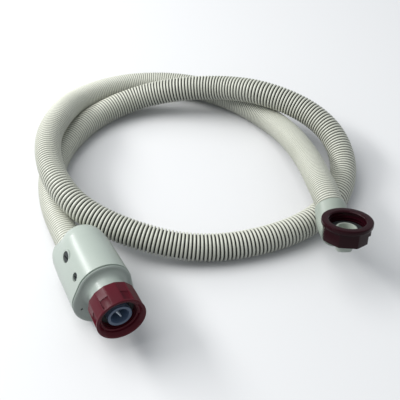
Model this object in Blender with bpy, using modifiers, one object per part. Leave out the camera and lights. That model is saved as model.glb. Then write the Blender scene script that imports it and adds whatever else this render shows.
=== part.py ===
"""Safety inlet hose for a washing machine, laid on a flat surface.

A pressure hose runs inside a corrugated jacket, from a valve housing with a coupling nut (the tap
end) to an elbow with a second coupling nut (the machine end). Both ends are built about the axis
of their nut: the mouth of the nut is the local origin, local Z points out of it, and a station is
a distance behind the mouth. Metres, +Z up, floor at Z = 0.
"""

import math

import bmesh
import bpy
import numpy as np
from mathutils import Matrix, Vector

# Clearances
TOUCH_GAP = 0.0003
STEM_CLEARANCE = 0.0003
PLUNGER_CLEARANCE = 0.0007

# Hose
JACKET_RADIUS = 0.0100
JACKET_WALL = 0.0015
HOSE_RADIUS = 0.00675
HOSE_BORE = 0.0048
HOSE_STEP = 0.018
JACKET_SIDES = 10
HOSE_SIDES = 10

# Route of the hose's centre, from the housing's rear face to the mouth of the end sleeve
ROUTE = [
    (-0.0943, 0.0225, 0.0119),
    (-0.1056, 0.0483, 0.0115),
    (-0.1140, 0.0695, 0.0104),
    (-0.1221, 0.1146, 0.0104),
    (-0.1196, 0.1372, 0.0104),
    (-0.1125, 0.1581, 0.0104),
    (-0.0898, 0.1916, 0.0106),
    (-0.0596, 0.2078, 0.0150),
    (-0.0262, 0.2096, 0.0225),
    (0.0076, 0.2060, 0.0270),
    (0.0398, 0.1926, 0.0320),
    (0.0710, 0.1773, 0.0293),
    (0.0957, 0.1541, 0.0225),
    (0.1049, 0.1203, 0.0140),
    (0.1016, 0.1005, 0.0113),
    (0.0932, 0.0814, 0.0104),
    (0.0812, 0.0657, 0.0104),
    (0.0676, 0.0542, 0.0104),
    (0.0393, 0.0400, 0.0104),
    (-0.0177, 0.0308, 0.0130),
    (-0.0452, 0.0345, 0.0175),
    (-0.0723, 0.0437, 0.0225),
    (-0.0975, 0.0594, 0.0284),
    (-0.1083, 0.0729, 0.0308),
    (-0.1177, 0.0930, 0.0310),
    (-0.1237, 0.1164, 0.0310),
    (-0.1245, 0.1408, 0.0308),
    (-0.1197, 0.1638, 0.0294),
    (-0.1111, 0.1936, 0.0211),
    (-0.0968, 0.2124, 0.0165),
    (-0.0649, 0.2332, 0.0112),
    (-0.0299, 0.2347, 0.0104),
    (0.0043, 0.2234, 0.0104),
    (0.0354, 0.2000, 0.0106),
    (0.0486, 0.1847, 0.0112),
    (0.0604, 0.1627, 0.0155),
    (0.0691, 0.1363, 0.0220),
    (0.0757, 0.1108, 0.0265),
    (0.0801, 0.0853, 0.0305),
    (0.0855, 0.0557, 0.0310),
]
SLEEVE_MOUTH_HEADING = Vector((0.195, -0.961, -0.198))

# Tap end: how the housing lies, and where the hose enters it, just inside the housing's lowest side
TAP_HEADING = math.radians(25.0)
TAP_ROLL = math.radians(9.5)
SOCKET_INSET = 0.0001
SOCKET_FACE = 0.0840

# Machine end: how the nut's axis leans, and where the elbow's corner lies from the sleeve's mouth
MACHINE_AXIS = Vector((0.0495, 0.265, 0.963))
ELBOW_REACH = Vector((0.0046, -0.0469, 0.0043))

# Coupling nuts, for a G 3/4 thread
THREAD_RADIUS = 0.0132
NUT_LEAD_IN = 0.0007
FLANGE_CLEARANCE = 0.0006
WASHER_RADIUS = 0.0117
WASHER_THICKNESS = 0.0020
POCKET_COUNT = 8
POCKET_WIDTH = 0.0066
POCKET_DEPTH = 0.0012

TAP_NUT_RADIUS = 0.0167
TAP_NUT_REAR_RADIUS = 0.0163
TAP_NUT_LENGTH = 0.0180
TAP_LIP_THICKNESS = 0.0030
TAP_FLANGE_THICKNESS = 0.0033
TAP_NOSE_RADIUS = 0.0082
TAP_NOSE_DEPTH = 0.0040
TAP_POCKET_START = 0.0030
TAP_POCKET_LENGTH = 0.0085

MACHINE_NUT_RADIUS = 0.01755
MACHINE_NUT_WAIST = 0.0168
MACHINE_NUT_REAR_RADIUS = 0.0166
MACHINE_NUT_LENGTH = 0.01365
MACHINE_RIM_HEIGHT = 0.0034
MACHINE_LIP_THICKNESS = 0.0018
MACHINE_FLANGE_THICKNESS = 0.00205
MACHINE_NOSE_RADIUS = 0.0078
MACHINE_NOSE_DEPTH = 0.0059
MACHINE_POCKET_LENGTH = 0.0045

# Housing: an egg-shaped section, the hull of an upper circle about the nut's axis and a lower one
UPPER_RADIUS = 0.0186
LOWER_RADIUS = 0.0212
LOWER_DROP = 0.0098
HOUSING_WALL = 0.0020
SEAM = 0.0319
SHELL_SECTIONS = [
    (SEAM, 0.0, 0.0),
    (0.0500, 0.0007, 0.0003),
    (0.0660, 0.0015, 0.0006),
    (0.0740, 0.0030, 0.0010),
    (0.0790, 0.0054, 0.0016),
    (0.0820, 0.0090, 0.0028),
    (0.0836, 0.0130, 0.0052),
]
UPPER_STEPS = 20
LOWER_STEPS = 12
SOCKET_WALL = 0.0013
SOCKET_STOP_THICKNESS = 0.0010

# Front cap
CAP_FACE = 0.0295
CAP_BEVEL = [(0.0, 0.0), (0.0008, 0.0002), (0.0016, 0.0007), (0.0021, 0.0016)]
CAP_LIP_LENGTH = 0.0032
CAP_LIP_WALL = 0.0016
NECK_RADIUS = 0.0126
NECK_FILLET = 0.0042
WEEP_HOLE_RADIUS = 0.0009
WEEP_HOLE_PLACE = (-0.0149, -0.0152)

# Housing screws: each one's station and the radius of its recess
SCREW_ANGLE = math.radians(164.5)
SCREWS = {"housing_screw_front": (0.0399, 0.0031), "housing_screw_rear": (0.0598, 0.0040)}
SCREW_HEAD_CLEARANCE = 0.0004
SCREW_HEAD_HEIGHT = 0.0016
SCREW_SHANK_RADIUS = 0.0014
SCREW_LENGTH = 0.0050
SCREW_TIP_CLEARANCE = 0.0005
SCREW_SLOT_WIDTH = 0.0008
SCREW_SLOT_DEPTH = 0.0007
RECESS_DEPTH = 0.0030
RECESS_WALL = 0.0014

# Valve body
STEM_NECK_RADIUS = 0.0102
CHAMBER_RADIUS = 0.0120
CHAMBER_START = 0.0340
CHAMBER_END = 0.0625
REAR_WALL = 0.0025
INLET_BORE = 0.0065
CHAMBER_BORE = 0.0100
CHAMBER_BORE_START = 0.0365
SEAT_STATION = 0.0500
SEAT_THICKNESS = 0.0020
SEAT_BORE = 0.0050
OUTLET_BORE = 0.0080
PORT_STATION = 0.0560
PORT_RADIUS = 0.0060
PORT_BORE = 0.0030
TAIL_RADIUS = 0.0041
TAIL_BORE = 0.0030
TAP_TAIL_START = 0.0620
TAP_TAIL_END = 0.0730
FILTER_SEAT_RADIUS = 0.0073
FILTER_SEAT_DEPTH = 0.0015
FILTER_LENGTH = 0.0078
FILTER_WALL = 0.0006
SCREW_BOSS_RADIUS = 0.0036

# Closing valve and its trigger
VALVE_TRAVEL = 0.0035
SEAL_THICKNESS = 0.0010
HEAD_RADIUS = 0.0072
HEAD_THICKNESS = 0.0025
VALVE_STEM_RADIUS = 0.0015
PAD_THICKNESS = 0.0034
PAD_RADIUS = 0.0075
PLUNGER_THICKNESS = 0.0018
CAGE_WALL = 0.0010
CAGE_END = 0.0783
CAGE_SLOTS = 4
CAGE_SLOT_WIDTH = 0.0060
SPRING_WIRE = 0.0005
SPRING_TURNS = 4
SPRING_POINTS_A_TURN = 12
SPRING_SIDES = 6

# Crimp rings, gland and end sleeve
FERRULE_WALL = 0.0011
TAP_FERRULE_LENGTH = 0.0070
TAP_FERRULE_INSET = 0.0020
MACHINE_FERRULE_LENGTH = 0.0050
MACHINE_FERRULE_INSET = 0.0008
GLAND_LENGTH = 0.0034
GLAND_WALL = 0.0012
SLEEVE_WALL = 0.00145
SLEEVE_OVERLAP = 0.0100
SLEEVE_SIDES = 20
SLEEVE_STEP = 0.0030

# Elbow
ELBOW_RADIUS = 0.0060
ELBOW_ARM_RADIUS = 0.0057
ELBOW_BORE = 0.0040
ELBOW_NOSE_BORE = 0.0055
ELBOW_NUT_CLEARANCE = 0.0005
NUT_SWEEP_CLEARANCE = 0.0010
ELBOW_DISC_THICKNESS = 0.0025
ELBOW_TAIL_LENGTH = 0.0061

SEGMENTS = 32
CUTTER_SIDES = 16
FILLET_STEPS = 5
MERGE_DISTANCE = 0.00001

# Sizes worked out from the ones above
TAP_SEAT = TAP_NUT_LENGTH - TAP_LIP_THICKNESS - TOUCH_GAP - TAP_FLANGE_THICKNESS
MACHINE_SEAT = MACHINE_NUT_LENGTH - MACHINE_LIP_THICKNESS - TOUCH_GAP - MACHINE_FLANGE_THICKNESS
FERRULE_BORE = HOSE_RADIUS + TOUCH_GAP
FERRULE_RADIUS = FERRULE_BORE + FERRULE_WALL
SOCKET_BORE = JACKET_RADIUS + TOUCH_GAP
SOCKET_RADIUS = SOCKET_BORE + SOCKET_WALL
SOCKET_START = CAGE_END + TOUCH_GAP
SOCKET_STOP = SOCKET_START + SOCKET_STOP_THICKNESS
FLANGE_RADIUS = THREAD_RADIUS - FLANGE_CLEARANCE
HOSE_DROP = LOWER_DROP + LOWER_RADIUS - SOCKET_INSET - SOCKET_RADIUS
NUT_LIP_BORE = STEM_NECK_RADIUS + TOUCH_GAP
SLEEVE_BORE = JACKET_RADIUS + TOUCH_GAP
SLEEVE_RADIUS = SLEEVE_BORE + SLEEVE_WALL
ELBOW_STATION = MACHINE_NUT_LENGTH + ELBOW_NUT_CLEARANCE + ELBOW_RADIUS
SLEEVE_START = MACHINE_NUT_RADIUS + NUT_SWEEP_CLEARANCE
ELBOW_TAIL_START = SLEEVE_START + TOUCH_GAP + ELBOW_DISC_THICKNESS
ELBOW_TAIL_END = ELBOW_TAIL_START + ELBOW_TAIL_LENGTH
SEAL_REAR = SEAT_STATION - TOUCH_GAP - VALVE_TRAVEL
HEAD_REAR = SEAL_REAR - SEAL_THICKNESS - TOUCH_GAP
PAD_START = CHAMBER_END + TOUCH_GAP
PLUNGER_START = PAD_START + PAD_THICKNESS + TOUCH_GAP
PLUNGER_END = PLUNGER_START + PLUNGER_THICKNESS
CAGE_BORE = PAD_RADIUS + PLUNGER_CLEARANCE
HOSE_PLACE = (0.0, -HOSE_DROP)
SCREW_OUT = Vector((math.cos(SCREW_ANGLE), math.sin(SCREW_ANGLE), 0.0))
SCREW_SEAT = UPPER_RADIUS - RECESS_DEPTH + TOUCH_GAP
SCREW_HOLE_RADIUS = SCREW_SHANK_RADIUS + TOUCH_GAP


def clear_scene():
    """Remove whatever the file holds."""
    for thing in list(bpy.data.objects):
        bpy.data.objects.remove(thing, do_unlink=True)


def new_collection(name):
    """A collection linked to the scene."""
    collection = bpy.data.collections.new(name)
    bpy.context.scene.collection.children.link(collection)
    return collection


def new_material(name, colour, roughness):
    """A Principled BSDF material with one colour and roughness."""
    material = bpy.data.materials.new(name)
    material.use_nodes = True
    shader = material.node_tree.nodes["Principled BSDF"]
    shader.inputs["Base Color"].default_value = (*colour, 1.0)
    shader.inputs["Roughness"].default_value = roughness
    material.diffuse_color = (*colour, 1.0)
    return material


class Maker:
    """Puts objects in the right collection, under an empty, with a material."""

    def __init__(self):
        self.parts = new_collection("safety_inlet_hose")
        self.cutters = new_collection("cutters")
        self.finishes = {
            "jacket": new_material("jacket_polyethylene", (0.60, 0.58, 0.47), 0.45),
            "hose": new_material("hose_rubber", (0.10, 0.10, 0.11), 0.60),
            "housing": new_material("housing_abs", (0.55, 0.60, 0.55), 0.35),
            "sleeve": new_material("sleeve_abs", (0.50, 0.54, 0.47), 0.40),
            "nut": new_material("nut_nylon", (0.16, 0.02, 0.03), 0.35),
            "moulding": new_material("valve_polypropylene", (0.62, 0.66, 0.72), 0.40),
            "rubber": new_material("washer_rubber", (0.03, 0.03, 0.03), 0.70),
            "steel": new_material("spring_steel", (0.45, 0.45, 0.47), 0.30),
            "screw": new_material("screw_black_steel", (0.05, 0.06, 0.06), 0.40),
            "felt": new_material("pad_cellulose", (0.65, 0.55, 0.35), 0.90),
        }

    def add(self, name, mesh, parent, finish=None):
        """Add an object; one without a finish is a cutter."""
        thing = bpy.data.objects.new(name, mesh)
        thing.parent = parent
        if finish:
            mesh.materials.append(self.finishes[finish])
            self.parts.objects.link(thing)
        else:
            thing.hide_render = True
            thing.display_type = "WIRE"
            self.cutters.objects.link(thing)
        return thing

    def frame(self, name, matrix):
        """An empty that carries one end of the hose."""
        empty = bpy.data.objects.new(name, None)
        empty.matrix_world = matrix
        empty.empty_display_size = JACKET_RADIUS
        self.parts.objects.link(empty)
        return empty


def smooth_round(mesh):
    """Shade smooth, with edges over 35 degrees kept sharp."""
    mesh.shade_smooth()
    mesh.set_sharp_from_angle(angle=math.radians(35.0))


def turned(maker, name, outline, parent, finish=None, sides=SEGMENTS):
    """A profile of (radius, station) points turned about the nut's axis.

    It runs down the outer side and up the inner one. Where it starts and ends on the axis it is
    left open, and otherwise it closes into a ring.
    """
    mesh = bpy.data.meshes.new(name)
    points = [(radius, 0.0, -station) for radius, station in outline]
    edges = [(index, index + 1) for index in range(len(points) - 1)]
    if outline[0][0] > 0.0:
        edges.append((len(points) - 1, 0))
    mesh.from_pydata(points, edges, [])
    thing = maker.add(name, mesh, parent, finish)
    screw = thing.modifiers.new("turn", "SCREW")
    screw.angle = math.tau
    screw.steps = sides
    screw.render_steps = sides
    screw.use_merge_vertices = True
    screw.merge_threshold = MERGE_DISTANCE
    screw.use_smooth_shade = False
    return thing


def cylinder(
    maker, name, radius, start, end, parent, finish=None, place=(0.0, 0.0), sides=CUTTER_SIDES
):
    """A cylinder along the nut's axis, between two stations, with its centre at a place (x, y)."""
    bm = bmesh.new()
    bmesh.ops.create_cone(
        bm, cap_ends=True, segments=sides, radius1=radius, radius2=radius, depth=end - start
    )
    bmesh.ops.translate(bm, vec=(place[0], place[1], -(start + end) / 2.0), verts=bm.verts)
    mesh = bpy.data.meshes.new(name)
    bm.to_mesh(mesh)
    bm.free()
    return maker.add(name, mesh, parent, finish)


def rod(
    maker, name, radius, start, end, direction, base, parent, finish=None, sides=CUTTER_SIDES
):
    """A cylinder along any local direction, from start to end beyond a base point."""
    bm = bmesh.new()
    bmesh.ops.create_cone(
        bm, cap_ends=True, segments=sides, radius1=radius, radius2=radius, depth=end - start
    )
    turn = Vector((0.0, 0.0, 1.0)).rotation_difference(direction).to_matrix().to_4x4()
    middle = Vector(base) + direction * (start + end) / 2.0
    bmesh.ops.transform(bm, matrix=Matrix.Translation(middle) @ turn, verts=bm.verts)
    mesh = bpy.data.meshes.new(name)
    bm.to_mesh(mesh)
    bm.free()
    return maker.add(name, mesh, parent, finish)


def block(maker, name, size, matrix, parent):
    """A box cutter of a given size, placed by a matrix."""
    bm = bmesh.new()
    bmesh.ops.create_cube(bm, size=1.0)
    bmesh.ops.transform(bm, matrix=matrix @ Matrix.Diagonal((*size, 1.0)), verts=bm.verts)
    mesh = bpy.data.meshes.new(name)
    bm.to_mesh(mesh)
    bm.free()
    return maker.add(name, mesh, parent)


def combine(target, other, operation):
    """Join or cut a target with another object, which is a guide from then on."""
    change = target.modifiers.new(other.name, "BOOLEAN")
    change.operation = operation
    change.object = other
    change.solver = "EXACT"


def egg_outline(upper_inset, lower_inset):
    """Points around the housing's section, counterclockwise seen from the mouth."""
    lean = math.asin((LOWER_RADIUS - UPPER_RADIUS) / LOWER_DROP)
    upper = UPPER_RADIUS - upper_inset
    lower = LOWER_RADIUS - lower_inset
    points = []
    for step in range(UPPER_STEPS + 1):
        angle = -lean + (math.pi + 2.0 * lean) * step / UPPER_STEPS
        points.append((upper * math.cos(angle), upper * math.sin(angle)))
    for step in range(LOWER_STEPS + 1):
        angle = math.pi + lean + (math.pi - 2.0 * lean) * step / LOWER_STEPS
        points.append((lower * math.cos(angle), lower * math.sin(angle) - LOWER_DROP))
    return points


def egg_loft(maker, name, sections, parent, finish=None):
    """A solid through egg-shaped sections of (station, upper inset, lower inset)."""
    bm = bmesh.new()
    rings = []
    for station, upper_inset, lower_inset in sections:
        outline = egg_outline(upper_inset, lower_inset)
        rings.append([bm.verts.new((x, y, -station)) for x, y in outline])
    for front, rear in zip(rings, rings[1:]):
        count = len(front)
        for index in range(count):
            after = (index + 1) % count
            bm.faces.new((front[index], front[after], rear[after], rear[index]))
    bm.faces.new(rings[0])
    bm.faces.new(rings[-1])
    bmesh.ops.recalc_face_normals(bm, faces=bm.faces)
    mesh = bpy.data.meshes.new(name)
    bm.to_mesh(mesh)
    bm.free()
    return maker.add(name, mesh, parent, finish)


def smooth_line(points, tangents, step):
    """Dense points on a cubic spline through given points, with given end tangents."""
    knots = np.array(points, float)
    chords = np.linalg.norm(np.diff(knots, axis=0), axis=1)
    count = len(knots)
    system = np.zeros((count, count))
    wanted = np.zeros((count, 3))
    system[0, 0] = system[-1, -1] = 1.0
    wanted[0] = tangents[0]
    wanted[-1] = tangents[1]
    for row in range(1, count - 1):
        before, after = chords[row - 1], chords[row]
        system[row, row - 1] = after
        system[row, row] = 2.0 * (before + after)
        system[row, row + 1] = before
        slope_before = (knots[row] - knots[row - 1]) / before
        slope_after = (knots[row + 1] - knots[row]) / after
        wanted[row] = 3.0 * (after * slope_before + before * slope_after)
    slopes = np.linalg.solve(system, wanted)
    line = []
    for row, chord in enumerate(chords):
        pieces = max(2, math.ceil(chord / step))
        for share in np.arange(pieces) / pieces:
            rest = 1.0 - share
            line.append(
                knots[row] * (1.0 + 2.0 * share) * rest**2
                + knots[row + 1] * (3.0 - 2.0 * share) * share**2
                + slopes[row] * chord * share * rest**2
                - slopes[row + 1] * chord * rest * share**2
            )
    line.append(knots[-1])
    return [Vector(point) for point in line]


def lengths_along(line):
    """How far along the line each of its points lies."""
    total = [0.0]
    for here, there in zip(line, line[1:]):
        total.append(total[-1] + (there - here).length)
    return total


def stretch(line, start, end, step):
    """Evenly spaced points of the line between two distances along it."""
    reach = lengths_along(line)
    count = max(2, math.ceil((end - start) / step))
    wanted = np.linspace(start, end, count + 1)
    columns = [np.interp(wanted, reach, [point[axis] for point in line]) for axis in range(3)]
    return [Vector(point) for point in zip(*columns)]


def swept_mesh(maker, name, points, radius, sides, caps):
    """The mesh of a round tube along points."""
    curve = bpy.data.curves.new(name, "CURVE")
    curve.dimensions = "3D"
    curve.bevel_depth = radius
    curve.bevel_resolution = sides // 2 - 2
    curve.use_fill_caps = caps
    spline = curve.splines.new("POLY")
    spline.points.add(len(points) - 1)
    for slot, point in zip(spline.points, points):
        slot.co = (*point, 1.0)
    guide = bpy.data.objects.new(name + "_line", curve)
    maker.cutters.objects.link(guide)
    bpy.context.view_layer.update()
    ready = guide.evaluated_get(bpy.context.evaluated_depsgraph_get())
    mesh = bpy.data.meshes.new_from_object(ready)
    bpy.data.objects.remove(guide, do_unlink=True)
    bm = bmesh.new()
    bm.from_mesh(mesh)
    bmesh.ops.remove_doubles(bm, verts=bm.verts, dist=MERGE_DISTANCE)
    bmesh.ops.recalc_face_normals(bm, faces=bm.faces)
    bm.to_mesh(mesh)
    bm.free()
    mesh.materials.clear()
    mesh.name = name
    smooth_round(mesh)
    return mesh


def hollow_tube(maker, name, points, radius, wall, sides, finish):
    """A hose: an open tube along points, with its wall turned inwards."""
    mesh = swept_mesh(maker, name, points, radius, sides, False)
    thing = maker.add(name, mesh, None, finish)
    solidify = thing.modifiers.new("wall", "SOLIDIFY")
    solidify.thickness = wall
    solidify.offset = -1.0
    solidify.use_even_offset = True


def tap_frame():
    """Where the tap end lies: its nut's mouth, from the point where the hose enters the socket."""
    outward = Vector((math.sin(TAP_HEADING), -math.cos(TAP_HEADING), 0.0))
    upward = Matrix.Rotation(-TAP_ROLL, 3, outward) @ Vector((0.0, 0.0, 1.0))
    rightward = upward.cross(outward)
    turn = Matrix((rightward, upward, outward)).transposed()
    mouth = Vector(ROUTE[0]) + upward * HOSE_DROP + outward * SOCKET_FACE
    return Matrix.Translation(mouth) @ turn.to_4x4()


def machine_frame():
    """Where the machine end lies: its nut's mouth, with local X along the elbow's arm."""
    outward = MACHINE_AXIS.normalized()
    backward = -ELBOW_REACH
    arm = (backward - outward * backward.dot(outward)).normalized()
    side = outward.cross(arm)
    turn = Matrix((arm, side, outward)).transposed()
    corner = Vector(ROUTE[-1]) + ELBOW_REACH
    mouth = corner + outward * ELBOW_STATION
    return Matrix.Translation(mouth) @ turn.to_4x4()


def hose_line(tap, machine):
    """The hose's centre from the valve body's tail to the elbow's, and the lengths on it."""
    tap_tail = tap @ Vector((0.0, -HOSE_DROP, -TAP_TAIL_START - TOUCH_GAP))
    machine_tail = machine @ Vector((ELBOW_TAIL_START + TOUCH_GAP, 0.0, -ELBOW_STATION))
    machine_tail_end = machine @ Vector((ELBOW_TAIL_END, 0.0, -ELBOW_STATION))
    leave = -(tap.to_3x3() @ Vector((0.0, 0.0, 1.0)))
    arrive = -(machine.to_3x3() @ Vector((1.0, 0.0, 0.0)))
    fine = JACKET_RADIUS / 4.0
    route = smooth_line(ROUTE, (leave, SLEEVE_MOUTH_HEADING.normalized()), fine)
    lowest = JACKET_RADIUS + TOUCH_GAP
    route = [Vector((point.x, point.y, max(point.z, lowest))) for point in route]
    bend = smooth_line([ROUTE[-1], machine_tail_end], (SLEEVE_MOUTH_HEADING.normalized(), arrive), fine)
    line = [tap_tail] + route + bend[1:] + [machine_tail]
    gland = (route[0] - tap_tail).length
    mouth = gland + lengths_along(route)[-1]
    return line, gland, mouth


def make_hoses(maker, tap, machine):
    """The corrugated jacket, the pressure hose in it and the smooth end sleeve over it."""
    line, gland, mouth = hose_line(tap, machine)
    jacket_start = gland - (SOCKET_FACE - SOCKET_STOP) + TOUCH_GAP
    jacket = stretch(line, jacket_start, mouth, HOSE_STEP)
    jacket += stretch(line, mouth, mouth + SLEEVE_OVERLAP, SLEEVE_STEP)[1:]
    hollow_tube(maker, "outer_hose", jacket, JACKET_RADIUS, JACKET_WALL, JACKET_SIDES, "jacket")
    whole = lengths_along(line)[-1]
    hose = stretch(line, 0.0, mouth, HOSE_STEP) + stretch(line, mouth, whole, SLEEVE_STEP)[1:]
    wall = HOSE_RADIUS - HOSE_BORE
    hollow_tube(maker, "inner_hose", hose, HOSE_RADIUS, wall, HOSE_SIDES, "hose")
    start = machine @ Vector((SLEEVE_START, 0.0, -ELBOW_STATION))
    sleeve_line = stretch(line, mouth, whole, SLEEVE_STEP) + [start]
    hollow_tube(maker, "end_sleeve", sleeve_line, SLEEVE_RADIUS, SLEEVE_WALL, SLEEVE_SIDES, "sleeve")


def nut_outline(rim, waist, rear, rim_height, length, lip):
    """Section of a coupling nut: outer side down, then the lip and the thread's bore up."""
    edge = NUT_LEAD_IN
    return [
        (rim - edge, 0.0),
        (rim, edge),
        (rim, rim_height),
        (waist, rim_height + rim - waist + edge / 10.0),
        (rear, length - edge),
        (rear - edge, length),
        (NUT_LIP_BORE, length),
        (NUT_LIP_BORE, length - lip),
        (THREAD_RADIUS, length - lip),
        (THREAD_RADIUS, edge),
        (THREAD_RADIUS + edge, 0.0),
    ]


def cut_pockets(maker, nut, radius, start, length):
    """A ring of grip pockets in the nut's side."""
    for index in range(POCKET_COUNT):
        turn = Matrix.Rotation(math.tau * (index + 0.5) / POCKET_COUNT, 4, "Z")
        middle = Matrix.Translation((radius, 0.0, -start - length / 2.0))
        size = (2.0 * POCKET_DEPTH, POCKET_WIDTH, length)
        pocket = block(maker, f"{nut.name}_pocket_{index}", size, turn @ middle, nut.parent)
        combine(nut, pocket, "DIFFERENCE")


def make_tap_nut(maker, end):
    """The tap end's coupling nut, which turns on the valve body's flange."""
    outline = nut_outline(
        TAP_NUT_RADIUS, TAP_NUT_RADIUS - NUT_LEAD_IN / 10.0, TAP_NUT_REAR_RADIUS,
        TAP_POCKET_START, TAP_NUT_LENGTH, TAP_LIP_THICKNESS,
    )
    nut = turned(maker, "tap_nut", outline, end, "nut")
    cut_pockets(maker, nut, TAP_NUT_RADIUS, TAP_POCKET_START, TAP_POCKET_LENGTH)


def make_machine_nut(maker, end):
    """The machine end's coupling nut, with a round rim and pockets open at its rear."""
    outline = nut_outline(
        MACHINE_NUT_RADIUS, MACHINE_NUT_WAIST, MACHINE_NUT_REAR_RADIUS,
        MACHINE_RIM_HEIGHT, MACHINE_NUT_LENGTH, MACHINE_LIP_THICKNESS,
    )
    nut = turned(maker, "machine_nut", outline, end, "nut")
    start = MACHINE_NUT_LENGTH - MACHINE_POCKET_LENGTH
    length = 2.0 * MACHINE_POCKET_LENGTH
    cut_pockets(maker, nut, MACHINE_NUT_REAR_RADIUS, start, length)


def make_washer(maker, name, nose_radius, seat, end):
    """A flat rubber washer round the nose, on the flange."""
    bore = nose_radius + TOUCH_GAP
    rear = seat - TOUCH_GAP
    front = rear - WASHER_THICKNESS
    outline = [(WASHER_RADIUS, front), (WASHER_RADIUS, rear), (bore, rear), (bore, front)]
    turned(maker, name, outline, end, "rubber")


def make_shell(maker, end):
    """The housing's shell: a tapering egg-shaped case with a socket and two screw recesses."""
    seam = SHELL_SECTIONS[0][0]
    shell = egg_loft(maker, "housing_shell", SHELL_SECTIONS, end, "housing")
    cavity_sections = [(seam - HOUSING_WALL, HOUSING_WALL, HOUSING_WALL)]
    for station, upper, lower in SHELL_SECTIONS[:-2]:
        cavity_sections.append((station, upper + HOUSING_WALL, lower + HOUSING_WALL))
    cavity = egg_loft(maker, "shell_cavity", cavity_sections, end)
    combine(shell, cavity, "DIFFERENCE")
    span = (SOCKET_START, SOCKET_FACE)
    socket = cylinder(maker, "shell_socket", SOCKET_RADIUS, *span, end, None, HOSE_PLACE, SEGMENTS)
    combine(shell, socket, "UNION")
    for name, base, recess_radius in screw_bases():
        floor = UPPER_RADIUS - RECESS_DEPTH
        span = (floor - RECESS_WALL, UPPER_RADIUS - HOUSING_WALL / 2.0)
        cup = rod(maker, name + "_cup", recess_radius + RECESS_WALL, *span, SCREW_OUT, base, end)
        combine(shell, cup, "UNION")
        span = (floor, UPPER_RADIUS + RECESS_DEPTH)
        recess = rod(maker, name + "_recess", recess_radius, *span, SCREW_OUT, base, end)
        combine(shell, recess, "DIFFERENCE")
        span = (floor - 2.0 * RECESS_WALL, floor + RECESS_WALL)
        hole = rod(maker, name + "_hole", SCREW_HOLE_RADIUS, *span, SCREW_OUT, base, end)
        combine(shell, hole, "DIFFERENCE")
    span = (SOCKET_STOP, SOCKET_FACE + SOCKET_RADIUS)
    bore = cylinder(maker, "socket_bore", SOCKET_BORE, *span, end, None, HOSE_PLACE, SEGMENTS)
    combine(shell, bore, "DIFFERENCE")
    span = (SOCKET_START - SOCKET_WALL, SOCKET_STOP + SOCKET_WALL)
    radius = FERRULE_RADIUS + TOUCH_GAP
    throat = cylinder(maker, "socket_throat", radius, *span, end, None, HOSE_PLACE, SEGMENTS)
    combine(shell, throat, "DIFFERENCE")


def make_cap(maker, end):
    """The front cap: a bevelled plate with a lip into the shell and a concave neck."""
    rear = SEAM - TOUCH_GAP
    slope = (rear - CAP_FACE) / CAP_BEVEL[-1][0]
    sections = [(rear - reach * slope, inset, inset) for reach, inset in reversed(CAP_BEVEL)]
    cap = egg_loft(maker, "front_cap", sections, end, "housing")
    inset = HOUSING_WALL + TOUCH_GAP
    lip_end = rear + CAP_LIP_LENGTH
    lip_sections = [(rear - CAP_LIP_WALL / 2.0, inset, inset), (lip_end, inset, inset)]
    combine(cap, egg_loft(maker, "cap_lip", lip_sections, end), "UNION")
    neck_start = TAP_NUT_LENGTH + TOUCH_GAP
    inside = CAP_FACE + CAP_LIP_WALL / 2.0
    neck = [
        (0.0, neck_start),
        (NECK_RADIUS - NUT_LEAD_IN, neck_start),
        (NECK_RADIUS, neck_start + NUT_LEAD_IN),
    ]
    for step in range(FILLET_STEPS + 1):
        angle = math.pi / 2.0 * step / FILLET_STEPS
        radius = NECK_RADIUS + NECK_FILLET * (1.0 - math.cos(angle))
        neck.append((radius, CAP_FACE - NECK_FILLET * (1.0 - math.sin(angle))))
    neck += [(NECK_RADIUS + NECK_FILLET, inside), (0.0, inside)]
    combine(cap, turned(maker, "cap_neck", neck, end), "UNION")
    inset += CAP_LIP_WALL
    hollow_sections = [(rear, inset, inset), (lip_end + CAP_LIP_WALL, inset, inset)]
    combine(cap, egg_loft(maker, "cap_hollow", hollow_sections, end), "DIFFERENCE")
    radius = STEM_NECK_RADIUS + TOUCH_GAP
    span = (neck_start - NUT_LEAD_IN, lip_end)
    bore = cylinder(maker, "cap_bore", radius, *span, end, sides=SEGMENTS)
    combine(cap, bore, "DIFFERENCE")
    span = (CAP_FACE - CAP_LIP_WALL, lip_end)
    weep = cylinder(maker, "weep_hole", WEEP_HOLE_RADIUS, *span, end, None, WEEP_HOLE_PLACE)
    combine(cap, weep, "DIFFERENCE")


def screw_bases():
    """Each housing screw's name, where its axis meets the nut's, and its recess's radius."""
    return [(name, (0.0, 0.0, -station), radius) for name, (station, radius) in SCREWS.items()]


def make_screws(maker, end):
    """The two slotted screws that hold the shell to the valve body."""
    turn = Vector((0.0, 0.0, 1.0)).rotation_difference(SCREW_OUT).to_matrix().to_4x4()
    top = SCREW_SEAT + SCREW_HEAD_HEIGHT
    slot_floor = top - SCREW_SLOT_DEPTH
    for name, base, recess_radius in screw_bases():
        head_radius = recess_radius - SCREW_HEAD_CLEARANCE
        span = (SCREW_SEAT, top)
        screw = rod(maker, name, head_radius, *span, SCREW_OUT, base, end, "screw")
        span = (SCREW_SEAT - SCREW_LENGTH, slot_floor)
        shank = rod(maker, name + "_shank", SCREW_SHANK_RADIUS, *span, SCREW_OUT, base, end)
        combine(screw, shank, "UNION")
        place = Matrix.Translation(Vector(base) + SCREW_OUT * top)
        size = (4.0 * head_radius, SCREW_SLOT_WIDTH, 2.0 * SCREW_SLOT_DEPTH)
        slot = block(maker, name + "_slot", size, place @ turn, end)
        combine(screw, slot, "DIFFERENCE")


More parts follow.
